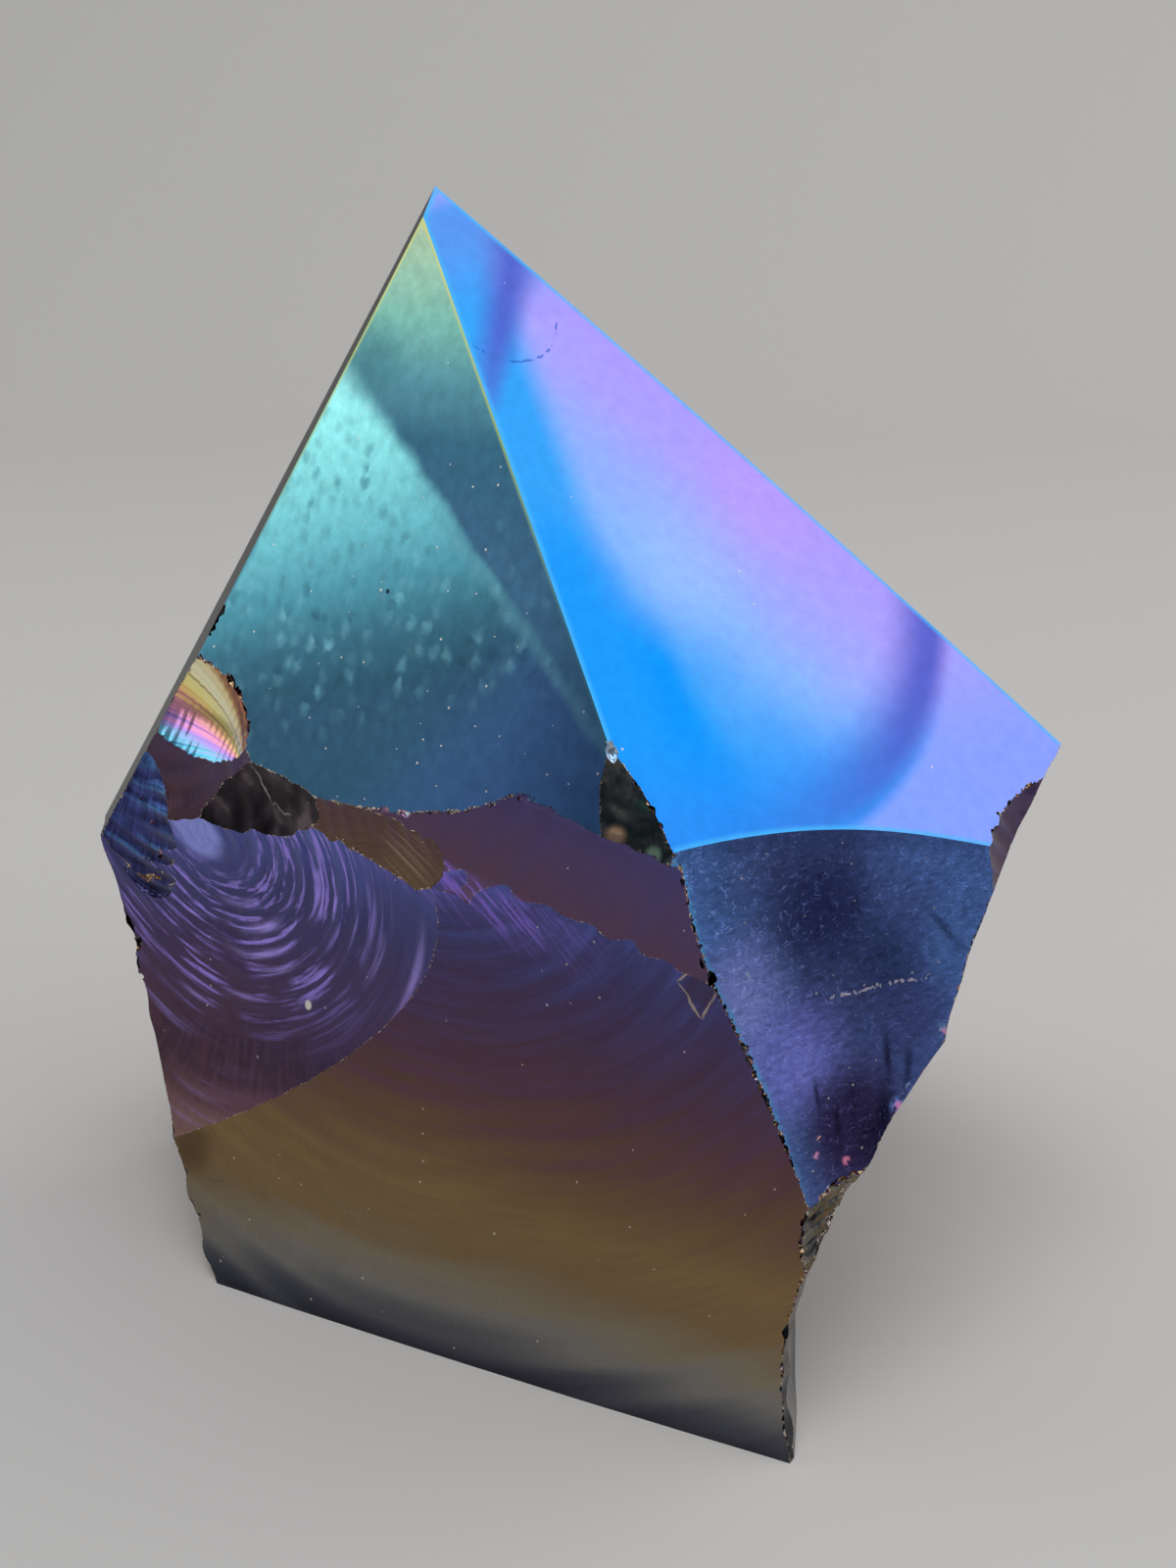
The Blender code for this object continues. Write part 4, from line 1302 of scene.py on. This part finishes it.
# %% Remaining finishes
BACK_CHARTS = {
    "back_right": ("titanium_film_back_violet", "#6fb4d8", [
        (0.25, "#2f74d8"), (0.42, "#5464dc"), (0.58, "#7a5cd0"), (0.72, "#9058a8"),
        (0.85, "#a0647c"),
    ]),
    "back_left": ("titanium_film_back_green", "#6fb4d8", [
        (0.25, "#2c6e90"), (0.42, "#3898a4"), (0.58, "#50ac92"), (0.72, "#80b070"),
        (0.85, "#b0a45c"),
    ]),
    "left_edge": ("titanium_film_side_dark", "#3c4450", [
        (0.2, "#14161d"), (0.5, "#0d0e13"), (0.8, "#1a1f29"),
    ]),
}
for zone, (name, rim_tint, chart) in BACK_CHARTS.items():
    tree = finish_called(name, zone)
    up, place = place_on(tree, zone)[1:]
    drift = add(tree, "TexNoise", Vector=place, Scale=0.022, Distortion=0.4)
    colour = add(tree, "ValToRGB", total(tree, -0.10, (up, -0.012), (drift, 0.7)), stops=chart)
    # A painted highlight line along the edges between polished facets.
    lip = add(tree, "Attribute", output="Fac", attribute_name="lip")
    colour = tinted(tree, colour, rim_tint, (lip, 0.1, 0.5, 0.6, 0.0))
    surface(tree, weathered(tree, place, colour), 0.14)
# The side facet's near-black is a painted dark reflection, and a dark edge tint keeps it dark at
# a glancing angle too, as beside a dark background.
dark_tree = materials["left_edge"].node_tree
fill(dark_tree, dark_tree.nodes["Principled BSDF"].inputs["Specular Tint"], "#2c3038")

tree = finish_called("sawn_obsidian_foot", "foot")
place = add(tree, "TexCoord", output="Object")
mottle = add(tree, "TexNoise", Vector=place, Scale=120.0, Detail=4.0)
colour = add(tree, "ValToRGB", mottle, stops=[(0.35, "#1b1b1d"), (0.65, "#3a3a3c")])
saw = add(tree, "TexWave", Vector=place, Scale=260.0, Distortion=1.5)
surface(tree, colour, 0.55, bump=(saw, 0.4, 0.00005), metallic=0.0)

stone.data.materials.clear()
for zone in ZONES:
    stone.data.materials.append(materials[zone])
stone.data.polygons.foreach_set("material_index", zone_of_face)
stone.data.update()
print("finishes on the stone:", len(stone.data.materials))

# %% [markdown]
# ## Floor, light and camera
#
# The stone stands on plain pale paper that curves up behind it. A large softbox on the right lights
# the blue facet, which leans back and looks up at it. A lower one on the left lights the teal
# facet, and one overhead, a little in front, fills the breaks. Glass shows whatever it faces, so
# the place and size of these matter more than their strength.

# %% Floor
# Metres: where the paper starts and where it begins to bend, half its width, its height and the
# radius of its bend. Then the number of steps along the flat and round the bend.
PAPER_FRONT, PAPER_BACK, PAPER_HALF, PAPER_RISE, PAPER_BEND = -1.2, 0.42, 1.6, 1.2, 0.30
FLAT_STEPS, BEND_STEPS = 12, 24
flat = np.linspace(PAPER_FRONT, PAPER_BACK, FLAT_STEPS)
bend = np.linspace(0.0, 0.5 * math.pi, BEND_STEPS)[1:]
wall = PAPER_BACK + PAPER_BEND
profile_y = np.concatenate([flat, PAPER_BACK + PAPER_BEND * np.sin(bend), [wall]])
profile_z = np.concatenate([np.zeros(FLAT_STEPS), PAPER_BEND * (1.0 - np.cos(bend)), [PAPER_RISE]])
left = np.stack([np.full_like(profile_y, -PAPER_HALF), profile_y, profile_z], -1)
right = left * np.array([-1.0, 1.0, 1.0])
step = np.arange(len(left) - 1)
paper_faces = np.stack([step, step + len(left), step + len(left) + 1, step + 1], -1)
paper_mesh = bpy.data.meshes.new("paper_sweep")
paper_mesh.from_pydata(np.concatenate([left, right]), [], paper_faces.tolist())
paper_mesh.polygons.foreach_set("use_smooth", np.ones(len(paper_faces), bool))
paper = bpy.data.objects.new("paper_sweep", paper_mesh)
bpy.context.scene.collection.objects.link(paper)
surface(finish_called("matte_grey_paper", "paper"), "#dbd9d6", 0.9, metallic=0.0)
paper_mesh.materials.append(materials["paper"])

# %% Light
world = bpy.data.worlds.new("studio")
bpy.context.scene.world = world
world.use_nodes = True
background = world.node_tree.nodes["Background"]
background.inputs["Color"].default_value = linear("#d6d9df")
background.inputs["Strength"].default_value = 0.32


def softbox(name, place, aim, width, height, brightness):
    """A rectangular area light at place that faces aim. Watts = brightness * pi * its area."""
    light = bpy.data.lights.new(name, "AREA")
    light.shape, light.size, light.size_y = "RECTANGLE", width, height
    light.energy = brightness * math.pi * width * height
    box = bpy.data.objects.new(name, light)
    box.location = place
    box.rotation_euler = (Vector(aim) - Vector(place)).to_track_quat("-Z", "Y").to_euler()
    bpy.context.scene.collection.objects.link(box)


softbox("softbox_right", (0.62, -0.02, 0.60), (0.0, 0.0, 0.05), 1.10, 1.00, 0.86)
softbox("softbox_left", (-0.60, 0.10, 0.25), (0.0, 0.0, 0.06), 0.60, 0.28, 0.85)
softbox("softbox_top", (-0.10, -0.35, 1.00), (0.0, 0.0, 0.05), 0.60, 0.60, 3.0)
# The Standard view keeps the azure and cyan of the film, which the default one would make grey.
bpy.context.scene.view_settings.view_transform = "Standard"

# %% Camera
# Millimetres of sensor and lens, metres of place, and degrees up from looking straight down.
SENSOR, LENS, CAMERA_PLACE, CAMERA_TILT = 36.0, 42.4, (0.00298, -0.14789, 0.096), 70.0
camera_data = bpy.data.cameras.new("camera")
camera_data.sensor_width, camera_data.lens = SENSOR, LENS
camera = bpy.data.objects.new("camera", camera_data)
camera.location = CAMERA_PLACE
camera.rotation_euler = (math.radians(CAMERA_TILT), 0.0, 0.0)
bpy.context.scene.collection.objects.link(camera)
bpy.context.scene.camera = camera
